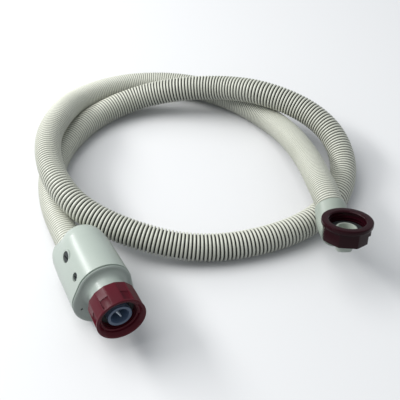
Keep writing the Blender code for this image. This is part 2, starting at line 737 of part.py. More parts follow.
def make_valve_body(maker, end):
    """The inlet nose, nut flange, valve chamber, port and hose tail, in one moulding."""
    flange_rear = TAP_SEAT + TAP_FLANGE_THICKNESS
    outline = [
        (TAP_NOSE_RADIUS, TAP_NOSE_DEPTH),
        (TAP_NOSE_RADIUS, TAP_SEAT),
        (FLANGE_RADIUS, TAP_SEAT),
        (FLANGE_RADIUS, flange_rear),
        (STEM_NECK_RADIUS, flange_rear),
        (STEM_NECK_RADIUS, CHAMBER_START),
        (CHAMBER_RADIUS, CHAMBER_START + CHAMBER_RADIUS - STEM_NECK_RADIUS),
        (CHAMBER_RADIUS, CHAMBER_END),
        (VALVE_STEM_RADIUS + STEM_CLEARANCE, CHAMBER_END),
        (VALVE_STEM_RADIUS + STEM_CLEARANCE, CHAMBER_END - REAR_WALL),
        (OUTLET_BORE, CHAMBER_END - REAR_WALL),
        (OUTLET_BORE, SEAT_STATION + SEAT_THICKNESS),
        (SEAT_BORE, SEAT_STATION + SEAT_THICKNESS),
        (SEAT_BORE, SEAT_STATION),
        (CHAMBER_BORE, SEAT_STATION),
        (CHAMBER_BORE, CHAMBER_BORE_START),
        (INLET_BORE, CHAMBER_BORE_START),
        (INLET_BORE, TAP_NOSE_DEPTH + FILTER_SEAT_DEPTH),
        (FILTER_SEAT_RADIUS, TAP_NOSE_DEPTH + FILTER_SEAT_DEPTH),
        (FILTER_SEAT_RADIUS, TAP_NOSE_DEPTH),
    ]
    body = turned(maker, "valve_body", outline, end, "moulding")
    down = Vector((0.0, -1.0, 0.0))
    back = Vector((0.0, 0.0, -1.0))
    port_base = (0.0, 0.0, -PORT_STATION)
    corner = (0.0, -HOSE_DROP, 0.0)
    inside = (OUTLET_BORE + CHAMBER_RADIUS) / 2.0
    span = (inside, HOSE_DROP + PORT_RADIUS)
    port = rod(maker, "port", PORT_RADIUS, *span, down, port_base, end, sides=SEGMENTS)
    combine(body, port, "UNION")
    span = (PORT_STATION, TAP_TAIL_START)
    collar = rod(maker, "tail_collar", PORT_RADIUS - TOUCH_GAP, *span, back, corner, end)
    combine(body, collar, "UNION")
    span = (PORT_STATION, TAP_TAIL_END)
    tail = rod(maker, "tail", TAIL_RADIUS, *span, back, corner, end, sides=SEGMENTS)
    combine(body, tail, "UNION")
    boss_top = UPPER_RADIUS - RECESS_DEPTH - RECESS_WALL - TOUCH_GAP
    screw_tip = SCREW_SEAT - SCREW_LENGTH
    for name, base, _ in screw_bases():
        boss = rod(maker, name + "_boss", SCREW_BOSS_RADIUS, inside, boss_top, SCREW_OUT, base, end)
        combine(body, boss, "UNION")
        span = (screw_tip - SCREW_TIP_CLEARANCE, boss_top + RECESS_WALL)
        pilot = rod(maker, name + "_pilot", SCREW_HOLE_RADIUS, *span, SCREW_OUT, base, end)
        combine(body, pilot, "DIFFERENCE")
    span = (OUTLET_BORE / 2.0, HOSE_DROP + PORT_BORE)
    port_bore = rod(maker, "port_bore", PORT_BORE, *span, down, port_base, end)
    combine(body, port_bore, "DIFFERENCE")
    span = (PORT_STATION, TAP_TAIL_END + TAIL_RADIUS)
    tail_bore = rod(maker, "tail_bore", TAIL_BORE, *span, back, corner, end)
    combine(body, tail_bore, "DIFFERENCE")


def make_filter(maker, end):
    """The cup strainer in the nose."""
    front = TAP_NOSE_DEPTH + TOUCH_GAP
    rim_rear = TAP_NOSE_DEPTH + FILTER_SEAT_DEPTH - TOUCH_GAP
    cup = INLET_BORE - TOUCH_GAP
    floor = front + FILTER_LENGTH
    outline = [
        (0.0, floor - FILTER_WALL),
        (cup - 2.0 * FILTER_WALL, floor - FILTER_WALL),
        (cup - FILTER_WALL, front),
        (FILTER_SEAT_RADIUS - TOUCH_GAP, front),
        (FILTER_SEAT_RADIUS - TOUCH_GAP, rim_rear),
        (cup, rim_rear),
        (cup - FILTER_WALL, floor),
        (0.0, floor),
    ]
    turned(maker, "inlet_filter", outline, end, "moulding")


def make_valve(maker, end):
    """The poppet that shuts the inlet, its seal and the plunger that pulls it."""
    head_front = HEAD_REAR - HEAD_THICKNESS
    stem = VALVE_STEM_RADIUS
    shoulder = stem + 2.0 * TOUCH_GAP
    poppet = [
        (0.0, head_front),
        (HEAD_RADIUS - HEAD_THICKNESS / 2.0, head_front),
        (HEAD_RADIUS, head_front + HEAD_THICKNESS / 2.0),
        (HEAD_RADIUS, HEAD_REAR),
        (stem, HEAD_REAR),
        (stem, PLUNGER_END),
        (0.0, PLUNGER_END),
    ]
    turned(maker, "valve_poppet", poppet, end, "moulding")
    seal_front = HEAD_REAR + TOUCH_GAP
    seal_bore = stem + TOUCH_GAP
    seal = [
        (HEAD_RADIUS, seal_front),
        (HEAD_RADIUS, SEAL_REAR),
        (seal_bore, SEAL_REAR),
        (seal_bore, seal_front),
    ]
    turned(maker, "poppet_seal", seal, end, "rubber")
    hub = stem + TOUCH_GAP
    plunger = [
        (PAD_RADIUS, PLUNGER_START),
        (PAD_RADIUS, PLUNGER_END),
        (hub, PLUNGER_END),
        (hub, PLUNGER_START),
    ]
    turned(maker, "trigger_plunger", plunger, end, "moulding")
    pad_end = PAD_START + PAD_THICKNESS
    pad = [(PAD_RADIUS, PAD_START), (PAD_RADIUS, pad_end), (shoulder, pad_end), (shoulder, PAD_START)]
    turned(maker, "swell_pad", pad, end, "felt")


def make_cage(maker, end):
    """The slotted carrier behind the valve body, closed at its rear."""
    outer = CAGE_BORE + CAGE_WALL
    outline = [
        (0.0, CAGE_END - CAGE_WALL),
        (CAGE_BORE, CAGE_END - CAGE_WALL),
        (CAGE_BORE, PAD_START),
        (outer, PAD_START),
        (outer, CAGE_END),
        (0.0, CAGE_END),
    ]
    cage = turned(maker, "trigger_cage", outline, end, "moulding")
    size = (4.0 * CAGE_WALL, CAGE_SLOT_WIDTH, CAGE_END - PAD_START - 4.0 * CAGE_WALL)
    middle = Matrix.Translation((outer, 0.0, -(PAD_START + CAGE_END) / 2.0))
    for index in range(CAGE_SLOTS):
        turn = Matrix.Rotation(math.tau * (index + 0.5) / CAGE_SLOTS, 4, "Z")
        slot = block(maker, f"cage_slot_{index}", size, turn @ middle, end)
        combine(cage, slot, "DIFFERENCE")


def make_spring(maker, end):
    """The spring that holds the valve open, between the plunger and the cage's rear."""
    start = PLUNGER_END + TOUCH_GAP + SPRING_WIRE
    stop = CAGE_END - CAGE_WALL - TOUCH_GAP - SPRING_WIRE
    coil = PAD_RADIUS - 4.0 * SPRING_WIRE
    count = SPRING_TURNS * SPRING_POINTS_A_TURN
    points = []
    for index in range(count + 1):
        angle = math.tau * index / SPRING_POINTS_A_TURN
        station = start + (stop - start) * index / count
        points.append((coil * math.cos(angle), coil * math.sin(angle), -station))
    mesh = swept_mesh(maker, "holding_spring", points, SPRING_WIRE, SPRING_SIDES, True)
    maker.add("holding_spring", mesh, end, "steel")


def make_ferrule(maker, name, start, length, direction, base, parent):
    """A crimp ring on the inner hose, from a start beyond a base point."""
    span = (start, start + length)
    ring = rod(maker, name, FERRULE_RADIUS, *span, direction, base, parent, "steel", SEGMENTS)
    span = (start - length, start + 2.0 * length)
    cut = rod(maker, name + "_bore", FERRULE_BORE, *span, direction, base, parent, sides=SEGMENTS)
    combine(ring, cut, "DIFFERENCE")


def make_gland(maker, end):
    """The collar round the jacket where it enters the housing."""
    start = SOCKET_FACE + TOUCH_GAP
    radius = SOCKET_BORE + GLAND_WALL
    span = (start, start + GLAND_LENGTH)
    collar = cylinder(maker, "hose_gland", radius, *span, end, "housing", HOSE_PLACE, SEGMENTS)
    span = (SOCKET_FACE, start + 2.0 * GLAND_LENGTH)
    bore = cylinder(maker, "gland_bore", SOCKET_BORE, *span, end, None, HOSE_PLACE, SEGMENTS)
    combine(collar, bore, "DIFFERENCE")


def make_elbow(maker, end):
    """The nose, nut flange, bend and hose tail of the machine end, in one moulding."""
    flange_rear = MACHINE_SEAT + MACHINE_FLANGE_THICKNESS
    neck_end = MACHINE_NUT_LENGTH + TOUCH_GAP
    outline = [
        (0.0, MACHINE_NOSE_DEPTH),
        (MACHINE_NOSE_RADIUS, MACHINE_NOSE_DEPTH),
        (MACHINE_NOSE_RADIUS, MACHINE_SEAT),
        (FLANGE_RADIUS, MACHINE_SEAT),
        (FLANGE_RADIUS, flange_rear),
        (STEM_NECK_RADIUS, flange_rear),
        (STEM_NECK_RADIUS, neck_end),
        (ELBOW_RADIUS, neck_end + (STEM_NECK_RADIUS - ELBOW_RADIUS) / 2.0),
        (ELBOW_RADIUS, ELBOW_STATION),
    ]
    for step in range(1, FILLET_STEPS + 1):
        angle = math.pi / 2.0 * step / FILLET_STEPS
        radius = ELBOW_RADIUS * math.cos(angle) if step < FILLET_STEPS else 0.0
        outline.append((radius, ELBOW_STATION + ELBOW_RADIUS * math.sin(angle)))
    elbow = turned(maker, "elbow", outline, end, "sleeve")
    along = Vector((1.0, 0.0, 0.0))
    corner = (0.0, 0.0, -ELBOW_STATION)
    disc_start = SLEEVE_START + TOUCH_GAP
    disc_middle = disc_start + ELBOW_DISC_THICKNESS / 2.0
    span = (0.0, disc_middle)
    arm = rod(maker, "elbow_arm", ELBOW_ARM_RADIUS, *span, along, corner, end, sides=SEGMENTS)
    combine(elbow, arm, "UNION")
    span = (disc_start, ELBOW_TAIL_START)
    disc = rod(maker, "elbow_disc", SLEEVE_BORE - TOUCH_GAP, *span, along, corner, end, sides=SEGMENTS)
    combine(elbow, disc, "UNION")
    span = (disc_middle, ELBOW_TAIL_END)
    tail = rod(maker, "elbow_tail", TAIL_RADIUS, *span, along, corner, end, sides=SEGMENTS)
    combine(elbow, tail, "UNION")
    nose_bore = cylinder(maker, "elbow_nose_bore", ELBOW_NOSE_BORE, 0.0, flange_rear, end)
    combine(elbow, nose_bore, "DIFFERENCE")
    span = (MACHINE_SEAT, ELBOW_STATION + ELBOW_BORE)
    drop_bore = cylinder(maker, "elbow_drop_bore", ELBOW_BORE, *span, end)
    combine(elbow, drop_bore, "DIFFERENCE")
    arm_bore = rod(maker, "elbow_arm_bore", ELBOW_BORE - TOUCH_GAP, 0.0, disc_start, along, corner, end)
    combine(elbow, arm_bore, "DIFFERENCE")
    span = (SLEEVE_START - TAIL_BORE, ELBOW_TAIL_END + TAIL_RADIUS)
    tail_bore = rod(maker, "elbow_tail_bore", TAIL_BORE, *span, along, corner, end)
    combine(elbow, tail_bore, "DIFFERENCE")


def make_tap_end(maker, end):
    """Everything at the tap end."""
    make_shell(maker, end)
    make_cap(maker, end)
    make_screws(maker, end)
    make_valve_body(maker, end)
    make_tap_nut(maker, end)
    make_washer(maker, "tap_washer", TAP_NOSE_RADIUS, TAP_SEAT, end)
    make_filter(maker, end)
    make_valve(maker, end)
    make_cage(maker, end)
    make_spring(maker, end)
    start = TAP_TAIL_START + TAP_FERRULE_INSET
    back = Vector((0.0, 0.0, -1.0))
    make_ferrule(maker, "tap_ferrule", start, TAP_FERRULE_LENGTH, back, (*HOSE_PLACE, 0.0), end)
    make_gland(maker, end)


def make_machine_end(maker, end):
    """Everything at the machine end but the sleeve, which follows the hose."""
    make_elbow(maker, end)
    make_machine_nut(maker, end)
    make_washer(maker, "machine_washer", MACHINE_NOSE_RADIUS, MACHINE_SEAT, end)
    start = ELBOW_TAIL_START + MACHINE_FERRULE_INSET
    along = Vector((1.0, 0.0, 0.0))
    corner = (0.0, 0.0, -ELBOW_STATION)
    make_ferrule(maker, "machine_ferrule", start, MACHINE_FERRULE_LENGTH, along, corner, end)


def main():
    """Build the whole hose."""
    clear_scene()
    maker = Maker()
    tap = tap_frame()
    machine = machine_frame()
    tap_end = maker.frame("tap_end", tap)
    machine_end = maker.frame("machine_end", machine)
    make_tap_end(maker, tap_end)
    make_machine_end(maker, machine_end)
    make_hoses(maker, tap, machine)


main()
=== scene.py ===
"""Washing machine safety inlet hose: the visible model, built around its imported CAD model.

Both ends are built about the axis of their coupling nut: the mouth of the nut is the local
origin, local Z points out of it, and a station is a distance behind the mouth. Metres.
"""

import math

import bmesh
import bpy
import numpy as np
from mathutils import Matrix, Vector


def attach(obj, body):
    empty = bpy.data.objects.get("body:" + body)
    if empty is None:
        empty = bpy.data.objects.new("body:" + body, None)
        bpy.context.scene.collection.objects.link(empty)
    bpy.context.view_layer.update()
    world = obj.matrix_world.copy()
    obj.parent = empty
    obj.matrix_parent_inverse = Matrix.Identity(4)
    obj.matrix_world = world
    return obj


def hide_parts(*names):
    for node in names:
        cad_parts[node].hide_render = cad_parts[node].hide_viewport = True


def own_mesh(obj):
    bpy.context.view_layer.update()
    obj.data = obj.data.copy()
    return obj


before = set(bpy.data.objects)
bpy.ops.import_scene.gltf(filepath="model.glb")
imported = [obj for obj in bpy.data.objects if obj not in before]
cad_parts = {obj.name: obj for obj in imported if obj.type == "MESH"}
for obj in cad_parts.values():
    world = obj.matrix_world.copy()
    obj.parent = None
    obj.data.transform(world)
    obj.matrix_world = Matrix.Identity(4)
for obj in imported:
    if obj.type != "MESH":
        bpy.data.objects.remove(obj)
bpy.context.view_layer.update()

bl_info = {
    "name": "Safety inlet hose",
    "version": (1, 0, 0),
    "blender": (4, 5, 0),
    "location": "View3D > Sidebar > Inlet hose",
    "description": "Builds the visible pieces of a washing machine's safety inlet hose",
    "category": "Add Mesh",
}

# Route of the hose's centre, from the housing's rear face to the mouth of the end sleeve
ROUTE = [
    (-0.0943, 0.0225, 0.0119), (-0.1056, 0.0483, 0.0115), (-0.1140, 0.0695, 0.0104),
    (-0.1221, 0.1146, 0.0104), (-0.1196, 0.1372, 0.0104), (-0.1125, 0.1581, 0.0104),
    (-0.0898, 0.1916, 0.0106), (-0.0596, 0.2078, 0.0150), (-0.0262, 0.2096, 0.0225),
    (0.0076, 0.2060, 0.0270), (0.0398, 0.1926, 0.0320), (0.0710, 0.1773, 0.0293),
    (0.0957, 0.1541, 0.0225), (0.1049, 0.1203, 0.0140), (0.1016, 0.1005, 0.0113),
    (0.0932, 0.0814, 0.0104), (0.0812, 0.0657, 0.0104), (0.0676, 0.0542, 0.0104),
    (0.0393, 0.0400, 0.0104), (-0.0177, 0.0308, 0.0130), (-0.0452, 0.0345, 0.0175),
    (-0.0723, 0.0437, 0.0225), (-0.0975, 0.0594, 0.0284), (-0.1083, 0.0729, 0.0308),
    (-0.1177, 0.0930, 0.0310), (-0.1237, 0.1164, 0.0310), (-0.1245, 0.1408, 0.0308),
    (-0.1197, 0.1638, 0.0294), (-0.1111, 0.1936, 0.0211), (-0.0968, 0.2124, 0.0165),
    (-0.0649, 0.2332, 0.0112), (-0.0299, 0.2347, 0.0104), (0.0043, 0.2234, 0.0104),
    (0.0354, 0.2000, 0.0106), (0.0486, 0.1847, 0.0112), (0.0604, 0.1627, 0.0155),
    (0.0691, 0.1363, 0.0220), (0.0757, 0.1108, 0.0265), (0.0801, 0.0853, 0.0305),
    (0.0855, 0.0557, 0.0310),
]
# Heading of the hose at the last of those points
SLEEVE_MOUTH_HEADING = Vector((0.195, -0.961, -0.198)).normalized()
# The hose's centre never lies lower than this, and its smooth line has a point at least this often
LOWEST_CENTRE = 0.0103
LINE_STEP = 0.0025
# How far before the socket's stop that line starts
LINE_GAP = 0.0003

# Tap end: how far its axis is turned about Z, and how far the housing is rolled about that axis
TAP_HEADING = math.radians(25.0)
TAP_ROLL = math.radians(9.5)
# How far under that axis the hose enters
HOSE_DROP = 0.0193

# Machine end: the nut's axis, and the way from the last point of the route to the elbow's corner
MACHINE_AXIS = Vector((0.0495, 0.265, 0.963)).normalized()
ELBOW_REACH = Vector((0.0046, -0.0469, 0.0043))
ELBOW_STATION = 0.02015

# Jacket: its radius over the rings, its bore, and how far it goes into the end sleeve
JACKET_RADIUS = 0.0101
JACKET_INSIDE = 0.0084
SLEEVE_OVERLAP = 0.0100
# One ring: shares of its pitch, and how much of its depth the surface lies below the radius there
RING_SHAPE = [(0.0, 1.0), (0.28, 1.0), (0.38, 0.18), (0.50, 0.0), (0.78, 0.0), (0.90, 0.18)]
# How far along the jacket, the rings' pitch there and their depth, in millimetres; the depth also sets how
# dark the grooves' painted shade is
RING_PITCHES = [
    (0.0, 2.1, 0.5), (120.0, 2.3, 0.6), (250.0, 2.6, 1.1), (330.0, 2.7, 1.3),
    (450.0, 2.5, 1.1), (520.0, 2.7, 1.3), (680.0, 2.8, 1.4), (740.0, 2.5, 1.1),
    (800.0, 2.1, 0.6), (900.0, 1.9, 0.6), (1000.0, 2.0, 0.7), (1060.0, 1.7, 0.7),
    (1180.0, 1.8, 0.7),
]
# No ring starts nearer to the jacket's end than this
RING_MARGIN = 0.0015
# The painted shade in the grooves of rings that are at least this deep is at its darkest
DARK_DEPTH = 0.0011
BORE_ROWS = 260
# None of the jacket's edges is shaded sharp
JACKET_SHARP_ANGLE = math.radians(180.0)
MILLIMETRES = 1000.0

# End sleeve: where it starts past the route's end, and where it ends along the elbow's arm
SLEEVE_START = 0.0022
SLEEVE_END = 0.01855
SLEEVE_RADIUS = 0.0115
SLEEVE_BORE = 0.0103
# Its mouth is this much narrower, over this length, and its straight part ends this far before its end
SLEEVE_TAPER = 0.0003
SLEEVE_TAPER_LENGTH = 0.004
SLEEVE_STRAIGHT_END = 0.002
# Rounding of its edges: at the mouth inside and outside, then at the end outside and inside
SLEEVE_ROUNDINGS = (0.0003, 0.0008, 0.0012, 0.0002)
SLEEVE_STEP = 0.0015
SLEEVE_SIDES = 56

# Coupling nuts, for a G 3/4 thread
THREAD_RADIUS = 0.0132
THREAD_PITCH = 0.00181
THREAD_DEPTH = 0.0011
THREAD_STEPS = 40
THREAD_START = 0.0030
TAP_THREAD_TURNS = 5
MACHINE_THREAD_TURNS = 4
# Half the ridge's foot as a share of the pitch, its crest as a share of its foot, and how far it sinks
THREAD_FOOT = 0.42
THREAD_CREST = 0.3
THREAD_SINK = 0.0002
NUT_LIP_BORE = 0.0105
NUT_SHARP_ANGLE = math.radians(28.0)
PANEL_FLATNESS = 0.9

# Every profile below is of corners (radius, station, rounding)
TAP_NUT_LENGTH = 0.0180
TAP_NUT_PROFILE = [
    (0.0167, 0.0, 0.0006), (0.0167, 0.0018, 0.0),
    (0.0167, 0.0022, 0.0), (0.0166, 0.0110, 0.0),
    (0.0163, TAP_NUT_LENGTH, 0.0006), (NUT_LIP_BORE, TAP_NUT_LENGTH, 0.0003),
    (NUT_LIP_BORE, 0.0150, 0.0002), (THREAD_RADIUS, 0.0150, 0.0002),
    (THREAD_RADIUS, 0.0024, 0.0003), (0.0149, 0.0, 0.0003),
]
TAP_NUT_SIDES = 112
# Its flat panels lie outside this radius and between these stations
TAP_PANEL_RADIUS = 0.0150
TAP_PANEL_START = 0.0014
TAP_PANEL_END = 0.0190
# Its pockets: where the first one is, then the size, place and tilt of the shallow and of the deep cut
POCKET_COUNT = 7
POCKET_ANGLE = math.radians(77.1)
POCKET_CUTS = [
    ((0.0030, 0.0066, 0.0184), (0.0173, 0.0, -0.0108), 0.0),
    ((0.0036, 0.0060, 0.0074), (0.0165, 0.0, -0.0056), math.radians(-11.0)),
]
POCKET_ROUNDING = 0.0003

# Strainer in the tap end's nose: a cup with a rim, and the tab that it is pulled out by
STRAINER_PROFILE = [
    (0.0062, 0.0031, 0.0003), (0.0082, 0.0031, 0.0005),
    (0.0082, 0.0039, 0.0), (0.0062, 0.0039, 0.0),
    (0.0056, 0.0118, 0.0004), (0.0010, 0.0122, 0.0),
    (0.0010, 0.0116, 0.0), (0.0050, 0.0112, 0.0004),
    (0.0056, 0.0045, 0.0),
]
STRAINER_SIDES = 64
TAB_SIZE = (0.0066, 0.0009, 0.0064)
TAB_PLACE = (-0.0003, 0.0004, -0.0079)
TAB_ANGLE = math.radians(-53.6)
TAB_ROUNDING = 0.0002

MACHINE_NUT_LENGTH = 0.01365
MACHINE_NUT_PROFILE = [
    (0.01755, 0.0, 0.0009), (0.01755, 0.0034, 0.0011),
    (0.0168, 0.0037, 0.0002), (0.0168, 0.0060, 0.0),
    (0.0168, 0.0076, 0.0), (0.0168, 0.0095, 0.0),
    (0.0167, MACHINE_NUT_LENGTH, 0.0005), (NUT_LIP_BORE, MACHINE_NUT_LENGTH, 0.0003),
    (NUT_LIP_BORE, 0.01185, 0.0002), (THREAD_RADIUS, 0.01185, 0.0002),
    (THREAD_RADIUS, 0.0017, 0.0), (0.0123, 0.0014, 0.0002),
    (0.0123, 0.0008, 0.0003), (0.0131, 0.0, 0.0003),
]
MACHINE_NUT_SIDES = 128
MACHINE_PANELS = 8
MACHINE_PANEL_ANGLE = math.radians(14.5)
MACHINE_PANEL_RADIUS = 0.0152
MACHINE_PANEL_START = 0.0035
MACHINE_PANEL_END = 0.0150
# Two notches at its rear, on opposite sides
NOTCH_ANGLES = [math.radians(250.0), math.radians(70.0)]
NOTCH_SIZE = (0.0048, 0.0105, 0.0082)
NOTCH_PLACE = (0.0169, 0.0, -0.0119)
NOTCH_ROUNDING = 0.0004

# Elbow: nose, flange and shank, which ends in a dome at the corner
SHANK_RADIUS = 0.0060
ELBOW_PROFILE = [
    (0.0, 0.0059, 0.0), (0.0075, 0.0059, 0.0011),
    (0.0078, 0.0095, 0.0), (0.0126, 0.0095, 0.0003),
    (0.0126, 0.01155, 0.0003), (0.0102, 0.01155, 0.0),
    (0.0102, 0.0140, 0.0004), (SHANK_RADIUS, 0.0160, 0.0008),
    (SHANK_RADIUS, ELBOW_STATION, 0.0),
]
# Its arm's parts and its bores, each with a radius and where it starts and ends
ARM = (0.0057, 0.0, 0.0201)
ARM_COLLAR = (0.0100, 0.01885, 0.02135)
TAIL_END = 0.02745
TAIL = (0.0041, 0.0201, TAIL_END)
NOSE_BORE = (0.0058, 0.0, 0.01155)
TAIL_BORE = (0.0030, 0.0, 0.0330)
ELBOW_SIDES = 64
TAIL_SIDES = 40
SHANK_BORE_PROFILE = [
    (0.0, 0.0095, 0.0), (0.0038, 0.0095, 0.0),
    (0.0038, 0.0218, 0.0020), (0.0, 0.0218, 0.0),
]
# Its outer corner is cut off by a slanting plane, this far from the corner
MITRE_ANGLE = math.radians(-63.3)
MITRE_REACH = 0.0041
MITRE_BLOCK = (0.010, 0.020, 0.020)
MITRE_ROUNDING = 0.0001

# The spring that holds the valve open: wire radius, coil radius, and the wire's first and last station
SPRING_WIRE = 0.0005
SPRING_RADIUS = 0.0055
SPRING_START = 0.0691
SPRING_STOP = 0.0765
SPRING_TURNS = 4
SPRING_SIDES = 10

# Housing: an egg-shaped section, the hull of an upper circle about the nut's axis and a lower one
UPPER_RADIUS = 0.0186
LOWER_RADIUS = 0.0212
LOWER_DROP = 0.0098
UPPER_STEPS = 48
LOWER_STEPS = 30
HOUSING_WALL = 0.0020
SEAM = 0.0319
# The case's sections: station, inset of the upper circle and inset of the lower one
SHELL_SECTIONS = [
    (SEAM, 0.0002, 0.0002), (0.0321, 0.0, 0.0), (0.0500, 0.0007, 0.0003),
    (0.0600, 0.0012, 0.0005), (0.0660, 0.0016, 0.0007), (0.0710, 0.0022, 0.0010),
    (0.0750, 0.0032, 0.0013), (0.0780, 0.0046, 0.0017), (0.0802, 0.0063, 0.0024),
    (0.0818, 0.0083, 0.0034), (0.0829, 0.0106, 0.0046), (0.0836, 0.0132, 0.0060),
]
# The sections that the case's hollow follows, which stops short of the rear
HOLLOW_SECTIONS = SHELL_SECTIONS[1:-4]
# More sections are put between them this often, but none nearer than this to a given one
SECTION_STEP = 0.0015
SECTION_GAP = 0.0004
# How far a cutter goes past the surface that it opens
CUT_PAST = 0.003
HOLLOW_PAST = 0.002

# The hose's socket in the case's rear, and the hole through its stop: radius, start and end
SOCKET_STOP = 0.0796
SOCKET_FACE = 0.0840
SOCKET = (0.0116, 0.0786, SOCKET_FACE)
SOCKET_BORE = (0.0103, SOCKET_STOP, 0.0900)
HOSE_HOLE = (0.00845, 0.0760, 0.0810)
SOCKET_SIDES = 56
GLAND_PROFILE = [
    (0.0103, 0.0843, 0.0),
    (0.0115, 0.0843, 0.0),
    (0.0115, 0.0877, 0.0009),
    (0.0103, 0.0877, 0.0002),
]

# Cap: the gap to the case, the slot that shows as a dark seam, and the slot's inset
CAP_GAP = 0.0003
SEAM_SLOT = 0.0010
SLOT_INSET = 0.0016
SLOT_STEP = 0.00001
CAP_FACE = 0.0295
# Its bevelled edge: how far before the slot, for a bevel that ends at the face, and the inset there
CAP_BEVEL = [
    (0.0000, 0.0000), (0.0005, 0.0001), (0.0010, 0.0003),
    (0.0015, 0.0007), (0.0019, 0.0012), (0.0021, 0.0018),
]
# The lip that goes into the case: its inset, and how far it lies before and behind the cap's rear
LIP_INSET = 0.0023
LIP_BEFORE = 0.0008
LIP_BEHIND = 0.0032
CAP_HOLLOW_INSET = 0.0039
CAP_HOLLOW_DEPTH = 0.005
NECK_RADIUS = 0.0126
NECK_FILLET = 0.0042
NECK_STEPS = 12
NECK_EDGE = 0.0007
NECK_GAP = 0.0003
NECK_ROOT = 0.0008
NECK_BORE = (0.0105, 0.0176, 0.0350)
NECK_BORE_SIDES = 64
WEEP_PLACE = (-0.0149, -0.0152, 0.0)
WEEP_START = 0.0285
WEEP_END = 0.0350
WEEP_SIDES = 24

# Screws: the way that they face, and each one's station and recess radius
SCREW_ANGLE = math.radians(164.5)
SCREW_WAY = (math.cos(SCREW_ANGLE), math.sin(SCREW_ANGLE), 0.0)
SCREWS = {"housing_screw_front": (0.0399, 0.0031), "housing_screw_rear": (0.0598, 0.0040)}
RECESS_DEPTH = 0.0030
RECESS_FLOOR = UPPER_RADIUS - RECESS_DEPTH
RECESS_WALL = 0.0014
# The cup around a recess stays this far under the housing's surface
CUP_SINK = 0.001
SCREW_HOLE_RADIUS = 0.0017
SCREW_HOLE_DEPTH = 0.003
SCREW_HOLE_PAST = 0.001
SCREW_HEAD_CLEARANCE = 0.0004
SCREW_SEAT = 0.0003
SCREW_HEAD_HEIGHT = 0.0016
SCREW_HEAD_ROUNDING = 0.0007
SHANK_OF_SCREW = (0.0014, 0.0050)
SCREW_SIDES = 48
SCREW_SLOT = (0.012, 0.0009, 0.0016)
SCREW_SLOT_PLACE = (0.0, 0.0, 0.0016)
SCREW_SLOT_ROUNDING = 0.0001

# Stage: each light's place and size, what they aim at, and the camera
LIGHTS = {
    "key": ((-1.08, 0.40, 0.78), (1.30, 0.26)),
    "top": ((-0.60, 0.15, 1.15), (1.10, 1.10)),
}
LIGHT_AIM = Vector((0.0, 0.08, 0.02))
SKY = (0.9, 0.95, 1.0, 1.0)
FLOOR_SIZE = 6.0
CAMERA_PLACE = (-0.0070, -0.4156, 0.4590)
CAMERA_TURN = (math.radians(48.0), 0.0, 0.0)
SENSOR_WIDTH = 36.0

# Making
SIDES = 72
ROD_SIDES = 40
ROUND_STEPS = 4
DOME_STEPS = 12
BEVEL_STEPS = 2
SHARP_ANGLE = math.radians(40.0)
MERGE_DISTANCE = 0.000002
OUTWARD = (0.0, 0.0, 1.0)
INWARD = (0.0, 0.0, -1.0)
ARM_WAY = (1.0, 0.0, 0.0)
IN_PLACE = Matrix.Identity(4)

# Size of the slow changes of tone in a moulding, in the jacket, and the spread of their gloss
MOULDING_DRIFT = 0.03
JACKET_DRIFT = 0.02
GLOSS_LESS = 0.05
GLOSS_MORE = 0.07
METAL_GLOSS = 0.1
# Strength of a moulding's grain, and roughness of the jacket's ridges and of its grooves
GRAIN_STRENGTH = 0.35
RIDGE_ROUGHNESS = 0.38
GROOVE_ROUGHNESS = 0.75
POLYETHYLENE_IOR = 1.51
FLOOR_ROUGHNESS = 0.9
# Decimals of a size setting, which single precision would otherwise blur
SETTING_DECIMALS = 6


def to_linear(code):
    """An sRGB hex value as linear red, green, blue and alpha."""
    shares = [int(code[place : place + 2], 16) / 255.0 for place in (1, 3, 5)]
    curve = [s / 12.92 if s <= 0.04045 else ((s + 0.055) / 1.055) ** 2.4 for s in shares]
    return (*curve, 1.0)


def add_node(tree, kind, attributes=None, values=None, links=None):
    """Add a shader node, set its attributes and inputs, and link outputs of others to it."""
    made = tree.nodes.new(kind)
    for key, value in (attributes or {}).items():
        setattr(made, key, value)
    for key, value in (values or {}).items():
        made.inputs[key].default_value = value
    for key, (source, output) in (links or {}).items():
        tree.links.new(source.outputs[output], made.inputs[key])
    return made


def new_material(name):
    """A material, and its node tree with nothing in it."""
    material = bpy.data.materials.new(name)
    material.use_nodes = True
    tree = material.node_tree
    tree.nodes.clear()
    return material, tree


def moulded(name, colour, shade, roughness, grain=0.0004, relief=0.00002, coat=0.0, level=0.5):
    """An injection-moulded plastic: a slow drift of tone, and a fine matt grain from the mould."""
    material, tree = new_material(name)
    place = {"Vector": (add_node(tree, "ShaderNodeTexCoord"), "Object")}
    slow = {"Scale": 1.0 / MOULDING_DRIFT, "Detail": 3.0, "Roughness": 0.55}
    drift = add_node(tree, "ShaderNodeTexNoise", {}, slow, place)
    tones = {"A": colour, "B": shade}
    tone = add_node(tree, "ShaderNodeMix", {"data_type": "RGBA"}, tones, {"Factor": (drift, "Fac")})
    fine = add_node(tree, "ShaderNodeTexNoise", {}, {"Scale": 1.0 / grain, "Detail": 2.0}, place)
    rise = {"Strength": GRAIN_STRENGTH, "Distance": relief}
    bump = add_node(tree, "ShaderNodeBump", {}, rise, {"Height": (fine, "Fac")})
    span = {"To Min": roughness - GLOSS_LESS, "To Max": roughness + GLOSS_MORE}
    gloss = add_node(tree, "ShaderNodeMapRange", {}, span, {"Value": (drift, "Fac")})
    finish = {"Specular IOR Level": level, "Coat Weight": coat, "Coat Roughness": 0.2}
    maps = {"Base Color": (tone, "Result"), "Roughness": (gloss, "Result"), "Normal": (bump, "Normal")}
    shader = add_node(tree, "ShaderNodeBsdfPrincipled", {}, finish, maps)
    add_node(tree, "ShaderNodeOutputMaterial", links={"Surface": (shader, "BSDF")})
    return material


